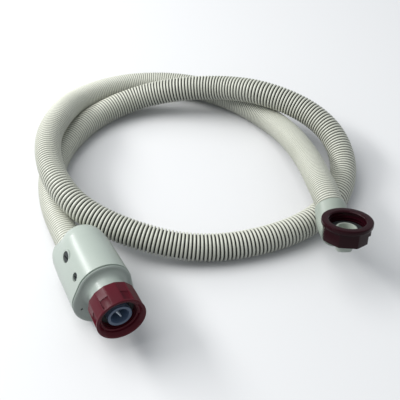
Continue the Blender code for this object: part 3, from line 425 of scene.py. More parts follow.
def corrugated(name, ridge, painted_groove_shade, shade):
    """Blow-moulded polyethylene: pale satin ridges, and grooves coloured near black as painted shade."""
    material, tree = new_material(name)
    place = {"Vector": (add_node(tree, "ShaderNodeTexCoord"), "Object")}
    # How much of the grooves' painted shade each point takes: near black where it is one
    depth = add_node(tree, "ShaderNodeAttribute", {"attribute_name": "painted_groove_shade"})
    drift = add_node(tree, "ShaderNodeTexNoise", {}, {"Scale": 1.0 / JACKET_DRIFT, "Detail": 4.0}, place)
    mix = {"data_type": "RGBA"}
    pale = add_node(tree, "ShaderNodeMix", mix, {"A": ridge, "B": shade}, {"Factor": (drift, "Fac")})
    sources = {"A": (pale, "Result"), "Factor": (depth, "Fac")}
    tone = add_node(tree, "ShaderNodeMix", mix, {"B": painted_groove_shade}, sources)
    span = {"To Min": RIDGE_ROUGHNESS, "To Max": GROOVE_ROUGHNESS}
    gloss = add_node(tree, "ShaderNodeMapRange", {}, span, {"Value": (depth, "Fac")})
    maps = {"Base Color": (tone, "Result"), "Roughness": (gloss, "Result")}
    shader = add_node(tree, "ShaderNodeBsdfPrincipled", {}, {"IOR": POLYETHYLENE_IOR}, maps)
    add_node(tree, "ShaderNodeOutputMaterial", links={"Surface": (shader, "BSDF")})
    return material


def metal(name, colour, roughness, brushing=0.0006):
    """A drawn or stamped metal, with fine uneven gloss from the tool."""
    material, tree = new_material(name)
    place = {"Vector": (add_node(tree, "ShaderNodeTexCoord"), "Object")}
    fine = add_node(tree, "ShaderNodeTexNoise", {}, {"Scale": 1.0 / brushing, "Detail": 3.0}, place)
    span = {"To Min": roughness - METAL_GLOSS, "To Max": roughness + METAL_GLOSS}
    gloss = add_node(tree, "ShaderNodeMapRange", {}, span, {"Value": (fine, "Fac")})
    values = {"Base Color": colour, "Metallic": 1.0}
    shader = add_node(tree, "ShaderNodeBsdfPrincipled", {}, values, {"Roughness": (gloss, "Result")})
    add_node(tree, "ShaderNodeOutputMaterial", links={"Surface": (shader, "BSDF")})
    return material


def rounded(corners):
    """An outline whose corners, each (radius, station, rounding), become short curves."""
    points = []
    for index, (radius, station, rounding) in enumerate(corners):
        here = Vector((radius, station))
        if rounding == 0.0:
            points.append((radius, station))
            continue
        before = Vector(corners[index - 1][:2])
        after = Vector(corners[(index + 1) % len(corners)][:2])
        start = here + (before - here).normalized() * rounding
        end = here + (after - here).normalized() * rounding
        for step in range(ROUND_STEPS + 1):
            share = step / ROUND_STEPS
            points.append(tuple(start.lerp(here, share).lerp(here.lerp(end, share), share)))
    return points


def spin_about_axis(bm, rise, angle, steps, merge):
    """Spin all of a bmesh's edges about the axis, each step going up by the rise."""
    bmesh.ops.spin(
        bm,
        geom=bm.verts[:] + bm.edges[:],
        cent=(0.0, 0.0, 0.0),
        axis=OUTWARD,
        dvec=(0.0, 0.0, rise),
        angle=angle,
        steps=steps,
        use_merge=merge,
        use_duplicate=False,
    )


def lathe(outline, sides=SIDES):
    """A profile of (radius, station) points spun about the axis; off the axis it is a ring."""
    bm = bmesh.new()
    chain = [bm.verts.new((radius, 0.0, -station)) for radius, station in outline]
    for here, there in zip(chain, chain[1:]):
        bm.edges.new((here, there))
    if outline[0][0] > 0.0:
        bm.edges.new((chain[-1], chain[0]))
    spin_about_axis(bm, 0.0, math.tau, sides, True)
    bmesh.ops.remove_doubles(bm, verts=bm.verts, dist=MERGE_DISTANCE)
    bmesh.ops.recalc_face_normals(bm, faces=bm.faces)
    return bm


def rod(radius, start, end, direction, base=(0.0, 0.0, 0.0), sides=ROD_SIDES):
    """A cylinder along a direction, from start to end beyond a base point."""
    bm = bmesh.new()
    bmesh.ops.create_cone(
        bm, cap_ends=True, segments=sides, radius1=radius, radius2=radius, depth=end - start
    )
    way = Vector(direction).normalized()
    turn = Vector(OUTWARD).rotation_difference(way).to_matrix().to_4x4()
    middle = Vector(base) + way * (start + end) / 2.0
    bmesh.ops.transform(bm, matrix=Matrix.Translation(middle) @ turn, verts=bm.verts)
    return bm


def block(size, place, bevel):
    """A box with rounded edges, put in place by a matrix."""
    bm = bmesh.new()
    bmesh.ops.create_cube(bm, size=1.0, matrix=Matrix.Diagonal((*size, 1.0)))
    bmesh.ops.bevel(
        bm,
        geom=bm.edges[:],
        offset=bevel,
        offset_type="OFFSET",
        segments=BEVEL_STEPS,
        profile=0.5,
        affect="EDGES",
        material=-1,
    )
    bmesh.ops.transform(bm, matrix=place, verts=bm.verts)
    return bm


def merged(parts):
    """Several bmeshes as one."""
    whole = bmesh.new()
    for part in parts:
        mesh = bpy.data.meshes.new("part")
        part.to_mesh(mesh)
        part.free()
        whole.from_mesh(mesh)
        bpy.data.meshes.remove(mesh)
    return whole


def combine(target, tool, operation):
    """The union or difference of two bmeshes, through the Boolean modifier."""
    things = []
    for bm in (target, tool):
        mesh = bpy.data.meshes.new("work")
        bm.to_mesh(mesh)
        bm.free()
        thing = bpy.data.objects.new("work", mesh)
        bpy.context.scene.collection.objects.link(thing)
        things.append(thing)
    change = things[0].modifiers.new("combine", "BOOLEAN")
    change.operation = operation
    change.object = things[1]
    change.solver = "EXACT"
    bpy.context.view_layer.update()
    ready = things[0].evaluated_get(bpy.context.evaluated_depsgraph_get())
    result = bmesh.new()
    result.from_mesh(ready.data)
    for thing in things:
        mesh = thing.data
        bpy.data.objects.remove(thing, do_unlink=True)
        bpy.data.meshes.remove(mesh)
    bmesh.ops.remove_doubles(result, verts=result.verts, dist=MERGE_DISTANCE)
    return result


def finish_piece(bm, name, place, material, slot, body, replaced=(), sharp=SHARP_ANGLE):
    """Make a piece of the object from a bmesh, with its place in its mesh."""
    bmesh.ops.transform(bm, matrix=place, verts=bm.verts)
    mesh = bpy.data.meshes.new(name)
    bm.to_mesh(mesh)
    bm.free()
    mesh.shade_smooth()
    mesh.set_sharp_from_angle(angle=sharp)
    mesh.materials.append(material)
    piece = bpy.data.objects.new(name, mesh)
    bpy.context.scene.collection.objects.link(piece)
    if replaced:
        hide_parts(*replaced)
    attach(piece, body)
    return piece


def dress_node(name, material):
    """Give a CAD node that stays its material."""
    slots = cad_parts[name].data.materials
    if slots:
        slots[0] = material
    else:
        slots.append(material)


def smooth_line(points, tangents, step):
    """Dense points on a cubic spline through given points, with given end tangents."""
    knots = np.array(points, float)
    chords = np.linalg.norm(np.diff(knots, axis=0), axis=1)
    count = len(knots)
    system = np.zeros((count, count))
    wanted = np.zeros((count, 3))
    system[0, 0] = system[-1, -1] = 1.0
    wanted[0] = tangents[0]
    wanted[-1] = tangents[1]
    for row in range(1, count - 1):
        before, after = chords[row - 1], chords[row]
        system[row, row - 1] = after
        system[row, row] = 2.0 * (before + after)
        system[row, row + 1] = before
        slope_before = (knots[row] - knots[row - 1]) / before
        slope_after = (knots[row + 1] - knots[row]) / after
        wanted[row] = 3.0 * (after * slope_before + before * slope_after)
    slopes = np.linalg.solve(system, wanted)
    line = []
    for row, chord in enumerate(chords):
        pieces = max(2, math.ceil(chord / step))
        for share in np.arange(pieces) / pieces:
            rest = 1.0 - share
            line.append(
                knots[row] * (1.0 + 2.0 * share) * rest**2
                + knots[row + 1] * (3.0 - 2.0 * share) * share**2
                + slopes[row] * chord * share * rest**2
                - slopes[row + 1] * chord * rest * share**2
            )
    line.append(knots[-1])
    return np.array(line)


def lengths_along(line):
    """How far along the line each of its points lies."""
    steps = np.linalg.norm(np.diff(line, axis=0), axis=1)
    return np.concatenate([[0.0], np.cumsum(steps)])


def tap_place():
    """Where the tap end lies: its nut's mouth, from the point where the hose enters."""
    outward = Vector((math.sin(TAP_HEADING), -math.cos(TAP_HEADING), 0.0))
    upward = Matrix.Rotation(-TAP_ROLL, 3, outward) @ Vector((0.0, 0.0, 1.0))
    turn = Matrix((upward.cross(outward), upward, outward)).transposed()
    mouth = Vector(ROUTE[0]) + upward * HOSE_DROP + outward * SOCKET_FACE
    return Matrix.Translation(mouth) @ turn.to_4x4()


def machine_place():
    """Where the machine end lies: its nut's mouth, with local X along the elbow's arm."""
    backward = -ELBOW_REACH
    arm = (backward - MACHINE_AXIS * backward.dot(MACHINE_AXIS)).normalized()
    turn = Matrix((arm, MACHINE_AXIS.cross(arm), MACHINE_AXIS)).transposed()
    mouth = Vector(ROUTE[-1]) + ELBOW_REACH + MACHINE_AXIS * ELBOW_STATION
    return Matrix.Translation(mouth) @ turn.to_4x4()


TAP = tap_place()
MACHINE = machine_place()


def hose_line():
    """The hose's centre from inside the housing to the elbow, and the length to the sleeve."""
    start = TAP @ Vector((0.0, -HOSE_DROP, -SOCKET_STOP - LINE_GAP))
    leave = -(TAP.to_3x3() @ Vector(OUTWARD))
    arrive = -(MACHINE.to_3x3() @ Vector(ARM_WAY))
    end = MACHINE @ Vector((TAIL_END, 0.0, -ELBOW_STATION))
    route = smooth_line(ROUTE, (leave, SLEEVE_MOUTH_HEADING), LINE_STEP)
    route[:, 2] = np.maximum(route[:, 2], LOWEST_CENTRE)
    bend = smooth_line([ROUTE[-1], end], (SLEEVE_MOUTH_HEADING, arrive), LINE_STEP)
    line = np.vstack([[start], route, bend[1:]])
    return line, lengths_along(line)[len(route)]


def frames_along(line):
    """Two directions across the line at each of its points, turned as little as they can be."""
    heading = np.gradient(line, axis=0)
    heading /= np.linalg.norm(heading, axis=1)[:, None]
    side = np.cross(heading[0], (0.0, 0.0, 1.0))
    sides = []
    for way in heading:
        side = side - way * side.dot(way)
        side /= np.linalg.norm(side)
        sides.append(side)
    return np.array(sides), np.cross(heading, sides)


def bend_along(bm, line):
    """Move a bmesh that stands along Z on to a line, its Z being the distance along it."""
    reach = lengths_along(line)
    first, second = frames_along(line)
    bm.verts.ensure_lookup_table()
    places = np.array([vert.co for vert in bm.verts])
    spots = places[:, 2]
    rows = (line, first, second)
    centre, one, two = [np.stack([np.interp(spots, reach, part) for part in row.T], 1) for row in rows]
    one /= np.linalg.norm(one, axis=1)[:, None]
    two /= np.linalg.norm(two, axis=1)[:, None]
    moved = centre + one * places[:, :1] + two * places[:, 1:2]
    for vert, spot in zip(bm.verts, moved):
        vert.co = spot
    bmesh.ops.recalc_face_normals(bm, faces=bm.faces)


def egg_outline(upper_inset, lower_inset):
    """Points around the housing's section, counterclockwise seen from the mouth."""
    lean = math.asin((LOWER_RADIUS - UPPER_RADIUS) / LOWER_DROP)
    upper = UPPER_RADIUS - upper_inset
    lower = LOWER_RADIUS - lower_inset
    points = []
    for step in range(UPPER_STEPS + 1):
        angle = lean + (math.pi - 2.0 * lean) * step / UPPER_STEPS
        points.append((upper * math.cos(angle), upper * math.sin(angle)))
    for step in range(LOWER_STEPS + 1):
        angle = math.pi - lean + (math.pi + 2.0 * lean) * step / LOWER_STEPS
        points.append((lower * math.cos(angle), lower * math.sin(angle) - LOWER_DROP))
    return points


def finer(sections):
    """The same sections with more of them between, so that no face is long."""
    stations, uppers, lowers = zip(*sections)
    count = math.ceil((stations[-1] - stations[0]) / SECTION_STEP)
    extra = np.linspace(stations[0], stations[-1], count)
    close = [place for place in extra if min(abs(place - known) for known in stations) > SECTION_GAP]
    places = sorted([*stations, *map(float, close)])
    return [
        (place, float(np.interp(place, stations, uppers)), float(np.interp(place, stations, lowers)))
        for place in places
    ]


def egg_loft(sections):
    """A solid through egg-shaped sections of (station, upper inset, lower inset)."""
    bm = bmesh.new()
    station, upper_inset, lower_inset = sections[0]
    ring = [bm.verts.new((x, y, -station)) for x, y in egg_outline(upper_inset, lower_inset)]
    edges = [bm.edges.new((here, there)) for here, there in zip(ring, ring[1:] + ring[:1])]
    bm.faces.new(ring)
    for station, upper_inset, lower_inset in sections[1:]:
        grown = bmesh.ops.extrude_edge_only(bm, edges=edges)["geom"]
        ring = [part for part in grown if isinstance(part, bmesh.types.BMVert)]
        edges = [part for part in grown if isinstance(part, bmesh.types.BMEdge)]
        edges = [edge for edge in edges if edge.is_boundary]
        for vert, (x, y) in zip(ring, egg_outline(upper_inset, lower_inset)):
            vert.co = (x, y, -station)
    bmesh.ops.holes_fill(bm, edges=edges, sides=len(ring))
    bmesh.ops.recalc_face_normals(bm, faces=bm.faces)
    return bm


def flatten_panels(bm, count, phase, radius, flatness, start, end):
    """Draw the outer side of a nut in towards flat panels, between two stations."""
    step = math.tau / count
    for vert in bm.verts:
        reach = math.hypot(vert.co.x, vert.co.y)
        if reach < radius or not start < -vert.co.z < end:
            continue
        angle = math.atan2(vert.co.y, vert.co.x) - phase
        local = angle % step - step / 2.0
        panel = reach * math.cos(step / 2.0) / math.cos(local)
        scale = (reach + (panel - reach) * flatness) / reach
        vert.co.x *= scale
        vert.co.y *= scale


def helix(corners, pitch, turns):
    """An outline wound about the axis, with its two ends closed."""
    bm = bmesh.new()
    chain = [bm.verts.new(corner) for corner in corners]
    for here, there in zip(chain, chain[1:] + chain[:1]):
        bm.edges.new((here, there))
    steps = THREAD_STEPS * turns
    spin_about_axis(bm, -pitch / THREAD_STEPS, math.tau * turns, steps, False)
    bmesh.ops.holes_fill(bm, edges=bm.edges, sides=len(corners))
    bmesh.ops.recalc_face_normals(bm, faces=bm.faces)
    return bm


def thread(start, turns):
    """A helical ridge on the wall of a nut's bore."""
    half = THREAD_PITCH * THREAD_FOOT
    wall = THREAD_RADIUS + THREAD_SINK
    crest = THREAD_RADIUS - THREAD_DEPTH
    corners = [
        (wall, 0.0, -start + half),
        (crest, 0.0, -start + half * THREAD_CREST),
        (crest, 0.0, -start - half * THREAD_CREST),
        (wall, 0.0, -start - half),
    ]
    return helix(corners, THREAD_PITCH, turns)


def colour_setting(name, code):
    """A colour that a user can change. A shade is the darker tone that a colour drifts to."""
    return bpy.props.FloatVectorProperty(
        name=name,
        description=f"Colour of the {name.lower()}",
        subtype="COLOR",
        size=4,
        min=0.0,
        max=1.0,
        default=to_linear(code),
    )


def size_setting(name, description, default):
    """A length that a user can change, in metres."""
    return bpy.props.FloatProperty(
        name=name,
        description=description,
        subtype="DISTANCE",
        unit="LENGTH",
        precision=5,
        min=0.0,
        default=default,
    )


def typed(value):
    """A setting's number as it was typed, without the rounding of single precision."""
    return round(value, SETTING_DECIMALS)


class JacketSettings(bpy.types.PropertyGroup):
    """The corrugated jacket."""

    ring_depth: bpy.props.FloatProperty(
        name="Ring depth", description="Share of the real rings' depth", default=1.0, min=0.1, max=1.2
    )
    sides: bpy.props.IntProperty(name="Sides", description="Faces around it", default=26, min=12, max=28)
    ridge: colour_setting("Ridges", "#DBDCCF")
    ridge_shade: colour_setting("Ridge shade", "#CFD0C1")
    # Painted shade: the grooves are coloured near black for the shade that falls in them
    painted_groove_shade: colour_setting("Grooves", "#12130C")


class EndSettings(bpy.types.PropertyGroup):
    """The end sleeve and the elbow."""

    radius: size_setting("Sleeve radius", "Outer radius of the end sleeve", SLEEVE_RADIUS)
    # Painted shade: the sleeve is coloured a tone darker than the elbow of the same ABS
    sleeve: colour_setting("Sleeve", "#9FA89D")
    sleeve_shade: colour_setting("Sleeve shade", "#969F94")
    elbow: colour_setting("Elbow", "#B5BDB2")
    elbow_shade: colour_setting("Elbow shade", "#ABB4A9")


class HousingSettings(bpy.types.PropertyGroup):
    """The valve housing."""

    wall: size_setting("Wall", "Thickness of the case's wall", HOUSING_WALL)
    edge: size_setting("Edge", "Width of the bevel on the case's edges", 0.00025)
    seam: size_setting("Seam", "Width of the slot between the case and the cap", SEAM_SLOT)
    weep_radius: size_setting("Weep hole", "Radius of the hole in the cap", 0.0009)
    case: colour_setting("Case", "#B0B9B0")
    case_shade: colour_setting("Case shade", "#A6B0A7")
    cap: colour_setting("Cap", "#A8B1A8")
    cap_shade: colour_setting("Cap shade", "#9EA8A1")


class NutSettings(bpy.types.PropertyGroup):
    """Both coupling nuts, and the strainer in the tap's."""

    flatness: bpy.props.FloatProperty(
        name="Flatness", description="How flat the panels are", default=PANEL_FLATNESS, min=0.0, max=1.0
    )
    tap: colour_setting("Tap nut", "#5C1B26")
    tap_shade: colour_setting("Tap nut shade", "#47121C")
    # Painted shade: the machine nut's burgundy is coloured nearly black for the shade on its faces
    machine: colour_setting("Machine nut", "#2C0A12")
    machine_shade: colour_setting("Machine nut shade", "#1E060C")
    # Painted shade: the strainer is coloured darker than the valve's blue-grey for the shade down in the
    # nose
    strainer: colour_setting("Strainer", "#4E6078")
    strainer_shade: colour_setting("Strainer shade", "#43546B")
    # Painted light: the tab is coloured much paler than the cup of the same plastic, to show as a lit sliver
    tab: colour_setting("Tab", "#C4CED6")
    tab_shade: colour_setting("Tab shade", "#B6C1CA")


class StageSettings(bpy.types.PropertyGroup):
    """The floor, the lights and the camera."""

    lens: bpy.props.FloatProperty(
        name="Lens", description="Focal length in millimetres", default=80.0, min=20.0, max=300.0
    )
    key: bpy.props.FloatProperty(
        name="Key light", description="Power of the long light", unit="POWER", default=13.0, min=0.0
    )
    top: bpy.props.FloatProperty(
        name="Top light", description="Power of the square light", unit="POWER", default=9.5, min=0.0
    )
    sky: bpy.props.FloatProperty(name="Sky", description="Strength of the sky's light", default=0.5, min=0.0)
    floor: colour_setting("Floor", "#E4E4E4")
    floor_bounce: colour_setting("Floor bounce", "#8A8C90")


def groove_shade(bm, marks, depths):
    """Mark how deep in the grooves each vertex lies, and how dark the painted shade there is."""
    layer = bm.verts.layers.float.new("painted_groove_shade")
    for vert in bm.verts:
        reach = math.hypot(vert.co.x, vert.co.y)
        depth = float(np.interp(vert.co.z, marks, depths))
        vert[layer] = min(1.0, max(0.0, (JACKET_RADIUS - reach) / depth)) * min(1.0, depth / DARK_DEPTH)


class HOSE_OT_jacket(bpy.types.Operator):
    bl_idname = "inlet_hose.jacket"
    bl_label = "Jacket"

    def execute(self, context):
        look = context.scene.inlet_hose_jacket
        line, mouth = hose_line()
        total = mouth + SLEEVE_OVERLAP
        marks, pitches, depths = [np.array(row) / MILLIMETRES for row in zip(*RING_PITCHES)]
        depths = depths * typed(look.ring_depth)
        outline = []
        spot = 0.0
        while spot < total - RING_MARGIN:
            pitch = float(np.interp(spot, marks, pitches))
            depth = float(np.interp(spot, marks, depths))
            for share, inset in RING_SHAPE:
                outline.append((JACKET_RADIUS - depth * inset, -(spot + share * pitch)))
            spot += pitch
        last = -outline[-1][1]
        outline += [(JACKET_INSIDE, -float(place)) for place in np.linspace(last, 0.0, BORE_ROWS)]
        bm = lathe(outline, look.sides)
        groove_shade(bm, marks, depths)
        bend_along(bm, line)
        skin = corrugated("polyethylene_blow_moulded", look.ridge, look.painted_groove_shade, look.ridge_shade)
        replaced = ["outer_hose"]
        jacket = finish_piece(
            bm, "jacket", IN_PLACE, skin, "jacket", "hose", replaced, sharp=JACKET_SHARP_ANGLE
        )
        return {"FINISHED"}


class HOSE_OT_sleeve(bpy.types.Operator):
    """Build the smooth sleeve over the jacket's end"""

    bl_idname = "inlet_hose.sleeve"
    bl_label = "End sleeve"

    def execute(self, context):
        look = context.scene.inlet_hose_ends
        line, mouth = hose_line()
        whole = np.vstack([line, MACHINE @ Vector((SLEEVE_END, 0.0, -ELBOW_STATION))])
        total = lengths_along(whole)[-1]
        mouth += SLEEVE_START
        middle = (mouth + total) / 2.0
        outer = typed(look.radius)
        mouth_in, mouth_out, end_out, end_in = SLEEVE_ROUNDINGS
        outline = rounded([
            (SLEEVE_BORE, -mouth, mouth_in),
            (outer - SLEEVE_TAPER, -mouth, mouth_out),
            (outer, -mouth - SLEEVE_TAPER_LENGTH, 0.0),
            (outer, -middle, 0.0),
            (outer, -total + SLEEVE_STRAIGHT_END, 0.0),
            (outer, -total, end_out),
            (SLEEVE_BORE, -total, end_in),
            (SLEEVE_BORE, -middle, 0.0),
        ])
        points = []
        for here, there in zip(outline, outline[1:] + outline[:1]):
            count = max(1, math.ceil(abs(here[1] - there[1]) / SLEEVE_STEP))
            for step in range(count):
                share = step / count
                radius = here[0] + (there[0] - here[0]) * share
                points.append((radius, here[1] + (there[1] - here[1]) * share))
        bm = lathe(points, SLEEVE_SIDES)
        bend_along(bm, whole)
        # Moulded ABS: an even grey-green with a wide, soft sheen, coloured a tone darker than the elbow as
        # painted shade
        skin = moulded("abs_sleeve", look.sleeve, look.sleeve_shade, roughness=0.40)
        finish_piece(bm, "smooth_sleeve", IN_PLACE, skin, "sleeve", "hose", ["end_sleeve"])
        return {"FINISHED"}


def housing_case(wall):
    """The hollow case, with its screw recesses and the hose's socket."""
    case = egg_loft(finer(SHELL_SECTIONS))
    inner = [(SEAM - HOLLOW_PAST, wall, wall)]
    inner += [(station, upper + wall, lower + wall) for station, upper, lower in HOLLOW_SECTIONS]
    case = combine(case, egg_loft(inner), "DIFFERENCE")
    floor = RECESS_FLOOR
    cups = []
    recesses = []
    for station, radius in SCREWS.values():
        base = (0.0, 0.0, -station)
        cup = (radius + RECESS_WALL, floor - RECESS_WALL, UPPER_RADIUS - CUP_SINK)
        cups.append(rod(*cup, SCREW_WAY, base))
        recesses.append(rod(radius, floor, UPPER_RADIUS + CUT_PAST, SCREW_WAY, base))
        hole = (SCREW_HOLE_RADIUS, floor - SCREW_HOLE_DEPTH, floor + SCREW_HOLE_PAST)
        recesses.append(rod(*hole, SCREW_WAY, base))
    case = combine(case, merged(cups), "UNION")
    case = combine(case, merged(recesses), "DIFFERENCE")
    drop = (0.0, -HOSE_DROP, 0.0)
    case = combine(case, rod(*SOCKET, INWARD, drop, SOCKET_SIDES), "UNION")
    case = combine(case, rod(*SOCKET_BORE, INWARD, drop, SOCKET_SIDES), "DIFFERENCE")
    return combine(case, rod(*HOSE_HOLE, INWARD, drop), "DIFFERENCE")


def housing_cap(seam, weep_radius):
    """The bevelled cap, with its lip in the case, its concave neck and its weep hole."""
    rear = SEAM - CAP_GAP
    edge_rear = rear - seam
    slope = (edge_rear - CAP_FACE) / CAP_BEVEL[-1][0]
    sections = [(edge_rear - reach * slope, inset, inset) for reach, inset in reversed(CAP_BEVEL)]
    sections += [(edge_rear + SLOT_STEP, SLOT_INSET, SLOT_INSET), (rear, SLOT_INSET, SLOT_INSET)]
    cap = egg_loft(sections)
    lip = [(rear - LIP_BEFORE, LIP_INSET, LIP_INSET), (rear + LIP_BEHIND, LIP_INSET, LIP_INSET)]
    cap = combine(cap, egg_loft(lip), "UNION")
    start = TAP_NUT_LENGTH + NECK_GAP
    neck = [(0.0, start), (NECK_RADIUS - NECK_EDGE, start), (NECK_RADIUS, start + NECK_EDGE)]
    for step in range(NECK_STEPS + 1):
        angle = math.pi / 2.0 * step / NECK_STEPS
        radius = NECK_RADIUS + NECK_FILLET * (1.0 - math.cos(angle))
        neck.append((radius, CAP_FACE - NECK_FILLET * (1.0 - math.sin(angle))))
    neck += [(NECK_RADIUS + NECK_FILLET, CAP_FACE + NECK_ROOT), (0.0, CAP_FACE + NECK_ROOT)]
    cap = combine(cap, lathe(neck), "UNION")
    inset = CAP_HOLLOW_INSET
    hollow = egg_loft([(rear, inset, inset), (rear + CAP_HOLLOW_DEPTH, inset, inset)])
    cap = combine(cap, hollow, "DIFFERENCE")
    cap = combine(cap, rod(*NECK_BORE, INWARD, sides=NECK_BORE_SIDES), "DIFFERENCE")
    weep = rod(weep_radius, WEEP_START, WEEP_END, INWARD, WEEP_PLACE, WEEP_SIDES)
    return combine(cap, weep, "DIFFERENCE")


def screw_head(recess_radius):
    """A slotted pan head on a short shank, with its seat at the origin."""
    radius = recess_radius - SCREW_HEAD_CLEARANCE
    shank, depth = SHANK_OF_SCREW
    head = rounded([
        (0.0, -SCREW_HEAD_HEIGHT, 0.0),
        (radius, -SCREW_HEAD_HEIGHT, SCREW_HEAD_ROUNDING),
        (radius, 0.0, 0.0),
        (shank, 0.0, 0.0),
        (shank, depth, 0.0),
        (0.0, depth, 0.0),
    ])
    slot = block(SCREW_SLOT, Matrix.Translation(SCREW_SLOT_PLACE), SCREW_SLOT_ROUNDING)
    return combine(lathe(head, SCREW_SIDES), slot, "DIFFERENCE")


class HOSE_OT_housing(bpy.types.Operator):
    """Build the valve housing's case, cap, screws and gland"""

    bl_idname = "inlet_hose.housing"
    bl_label = "Valve housing"

    def execute(self, context):
        look = context.scene.inlet_hose_housing
        # ABS from a polished mould: pale grey-green, with one clean highlight along the case
        skin = moulded("abs_housing", look.case, look.case_shade, roughness=0.32, coat=0.05)
        case = housing_case(typed(look.wall))
        piece = finish_piece(case, "housing_case", TAP, skin, "housing", "hose", ["housing_shell"])
        edge = piece.modifiers.new("edge", "BEVEL")
        edge.width = look.edge
        edge.segments = BEVEL_STEPS
        edge.limit_method = "ANGLE"
        edge.angle_limit = SHARP_ANGLE
        # The same ABS, a tone darker, because the cap faces away from the light
        cap_skin = moulded("abs_cap", look.cap, look.cap_shade, roughness=0.34, coat=0.1)
        cap = housing_cap(typed(look.seam), typed(look.weep_radius))
        finish_piece(cap, "housing_cap", TAP, cap_skin, "housing", "hose", ["front_cap"])
        # Blackened steel: nearly black, with a dull gleam on the head's rim
        steel = metal("screw_black_oxide", to_linear("#3A3F40"), roughness=0.42)
        way = Vector(SCREW_WAY)
        turn = Vector(OUTWARD).rotation_difference(way).to_matrix().to_4x4()
        for name, (station, recess_radius) in SCREWS.items():
            seat = Vector((0.0, 0.0, -station)) + way * (RECESS_FLOOR + SCREW_SEAT)
            place = TAP @ Matrix.Translation(seat) @ turn
            head = screw_head(recess_radius)
            finish_piece(head, name + "_head", place, steel, "screw", "hose", [name])
        gland = lathe(rounded(GLAND_PROFILE), SOCKET_SIDES)
        bmesh.ops.translate(gland, vec=(0.0, -HOSE_DROP, 0.0), verts=gland.verts)
        finish_piece(gland, "gland_ring", TAP, skin, "housing", "hose", ["hose_gland"])
        return {"FINISHED"}


class HOSE_OT_tap_nut(bpy.types.Operator):
    """Build the tap end's coupling nut, its thread and the strainer"""

    bl_idname = "inlet_hose.tap_nut"
    bl_label = "Tap nut"

    def execute(self, context):
        look = context.scene.inlet_hose_nuts
        # Dyed nylon: deep burgundy, with a weak sheen that leaves the pockets dark
        nylon = moulded("nylon_nut", look.tap, look.tap_shade, roughness=0.30, level=0.12)
        # Two flat panels for each pocket, which lies in the middle of every second one
        step = math.tau / POCKET_COUNT
        nut = lathe(rounded(TAP_NUT_PROFILE), TAP_NUT_SIDES)
        panels = (TAP_PANEL_RADIUS, typed(look.flatness), TAP_PANEL_START, TAP_PANEL_END)
        flatten_panels(nut, 2 * POCKET_COUNT, POCKET_ANGLE - step / 4.0, *panels)
        for size, spot, tilt in POCKET_CUTS:
            cuts = []
            for index in range(POCKET_COUNT):
                turn = Matrix.Rotation(POCKET_ANGLE + step * index, 4, "Z")
                lean = Matrix.Rotation(tilt, 4, "Y")
                cuts.append(block(size, turn @ Matrix.Translation(spot) @ lean, POCKET_ROUNDING))
            nut = combine(nut, merged(cuts), "DIFFERENCE")
        finish_piece(nut, "tap_coupling_nut", TAP, nylon, "nut", "tap_nut", ["tap_nut"], NUT_SHARP_ANGLE)
        ridge = thread(THREAD_START, TAP_THREAD_TURNS)
        finish_piece(ridge, "tap_nut_thread", TAP, nylon, "nut", "tap_nut")
        # Moulded polypropylene: blue-grey, coloured darker as painted shade because the cup sits deep in the
        # nose
        clear = moulded("polypropylene_strainer", look.strainer, look.strainer_shade, roughness=0.32)
        cup = lathe(rounded(STRAINER_PROFILE), STRAINER_SIDES)
        finish_piece(cup, "strainer_cup", TAP, clear, "moulding", "hose", ["inlet_filter"])
        # The same plastic, coloured pale as painted light: a tab that shows as a lit sliver
        pale = moulded("polypropylene_grip", look.tab, look.tab_shade, roughness=0.30)
        lean = Matrix.Rotation(TAB_ANGLE, 4, "Z")
        tab = block(TAB_SIZE, Matrix.Translation(TAB_PLACE) @ lean, TAB_ROUNDING)
        finish_piece(tab, "strainer_tab", TAP, pale, "moulding", "hose")
        return {"FINISHED"}


def elbow_bmesh():
    """Nose, flange, shank, arm and hose tail as one moulding, with its waterway."""
    outline = rounded(ELBOW_PROFILE)
    for index in range(1, DOME_STEPS + 1):
        angle = math.pi / 2.0 * index / DOME_STEPS
        radius = SHANK_RADIUS * math.cos(angle) if index < DOME_STEPS else 0.0
        outline.append((radius, ELBOW_STATION + SHANK_RADIUS * math.sin(angle)))
    elbow = lathe(outline)
    corner = (0.0, 0.0, -ELBOW_STATION)
    for part, sides in ((ARM, ELBOW_SIDES), (ARM_COLLAR, ELBOW_SIDES), (TAIL, TAIL_SIDES)):
        elbow = combine(elbow, rod(*part, ARM_WAY, corner, sides), "UNION")
    elbow = combine(elbow, rod(*NOSE_BORE, INWARD, sides=ELBOW_SIDES), "DIFFERENCE")
    elbow = combine(elbow, lathe(rounded(SHANK_BORE_PROFILE)), "DIFFERENCE")
    elbow = combine(elbow, rod(*TAIL_BORE, ARM_WAY, corner, TAIL_SIDES), "DIFFERENCE")
    mitre = Matrix.Translation(corner) @ Matrix.Rotation(MITRE_ANGLE, 4, "Y")
    mitre = mitre @ Matrix.Translation((-MITRE_REACH - MITRE_BLOCK[0] / 2.0, 0.0, 0.0))
    return combine(elbow, block(MITRE_BLOCK, mitre, MITRE_ROUNDING), "DIFFERENCE")


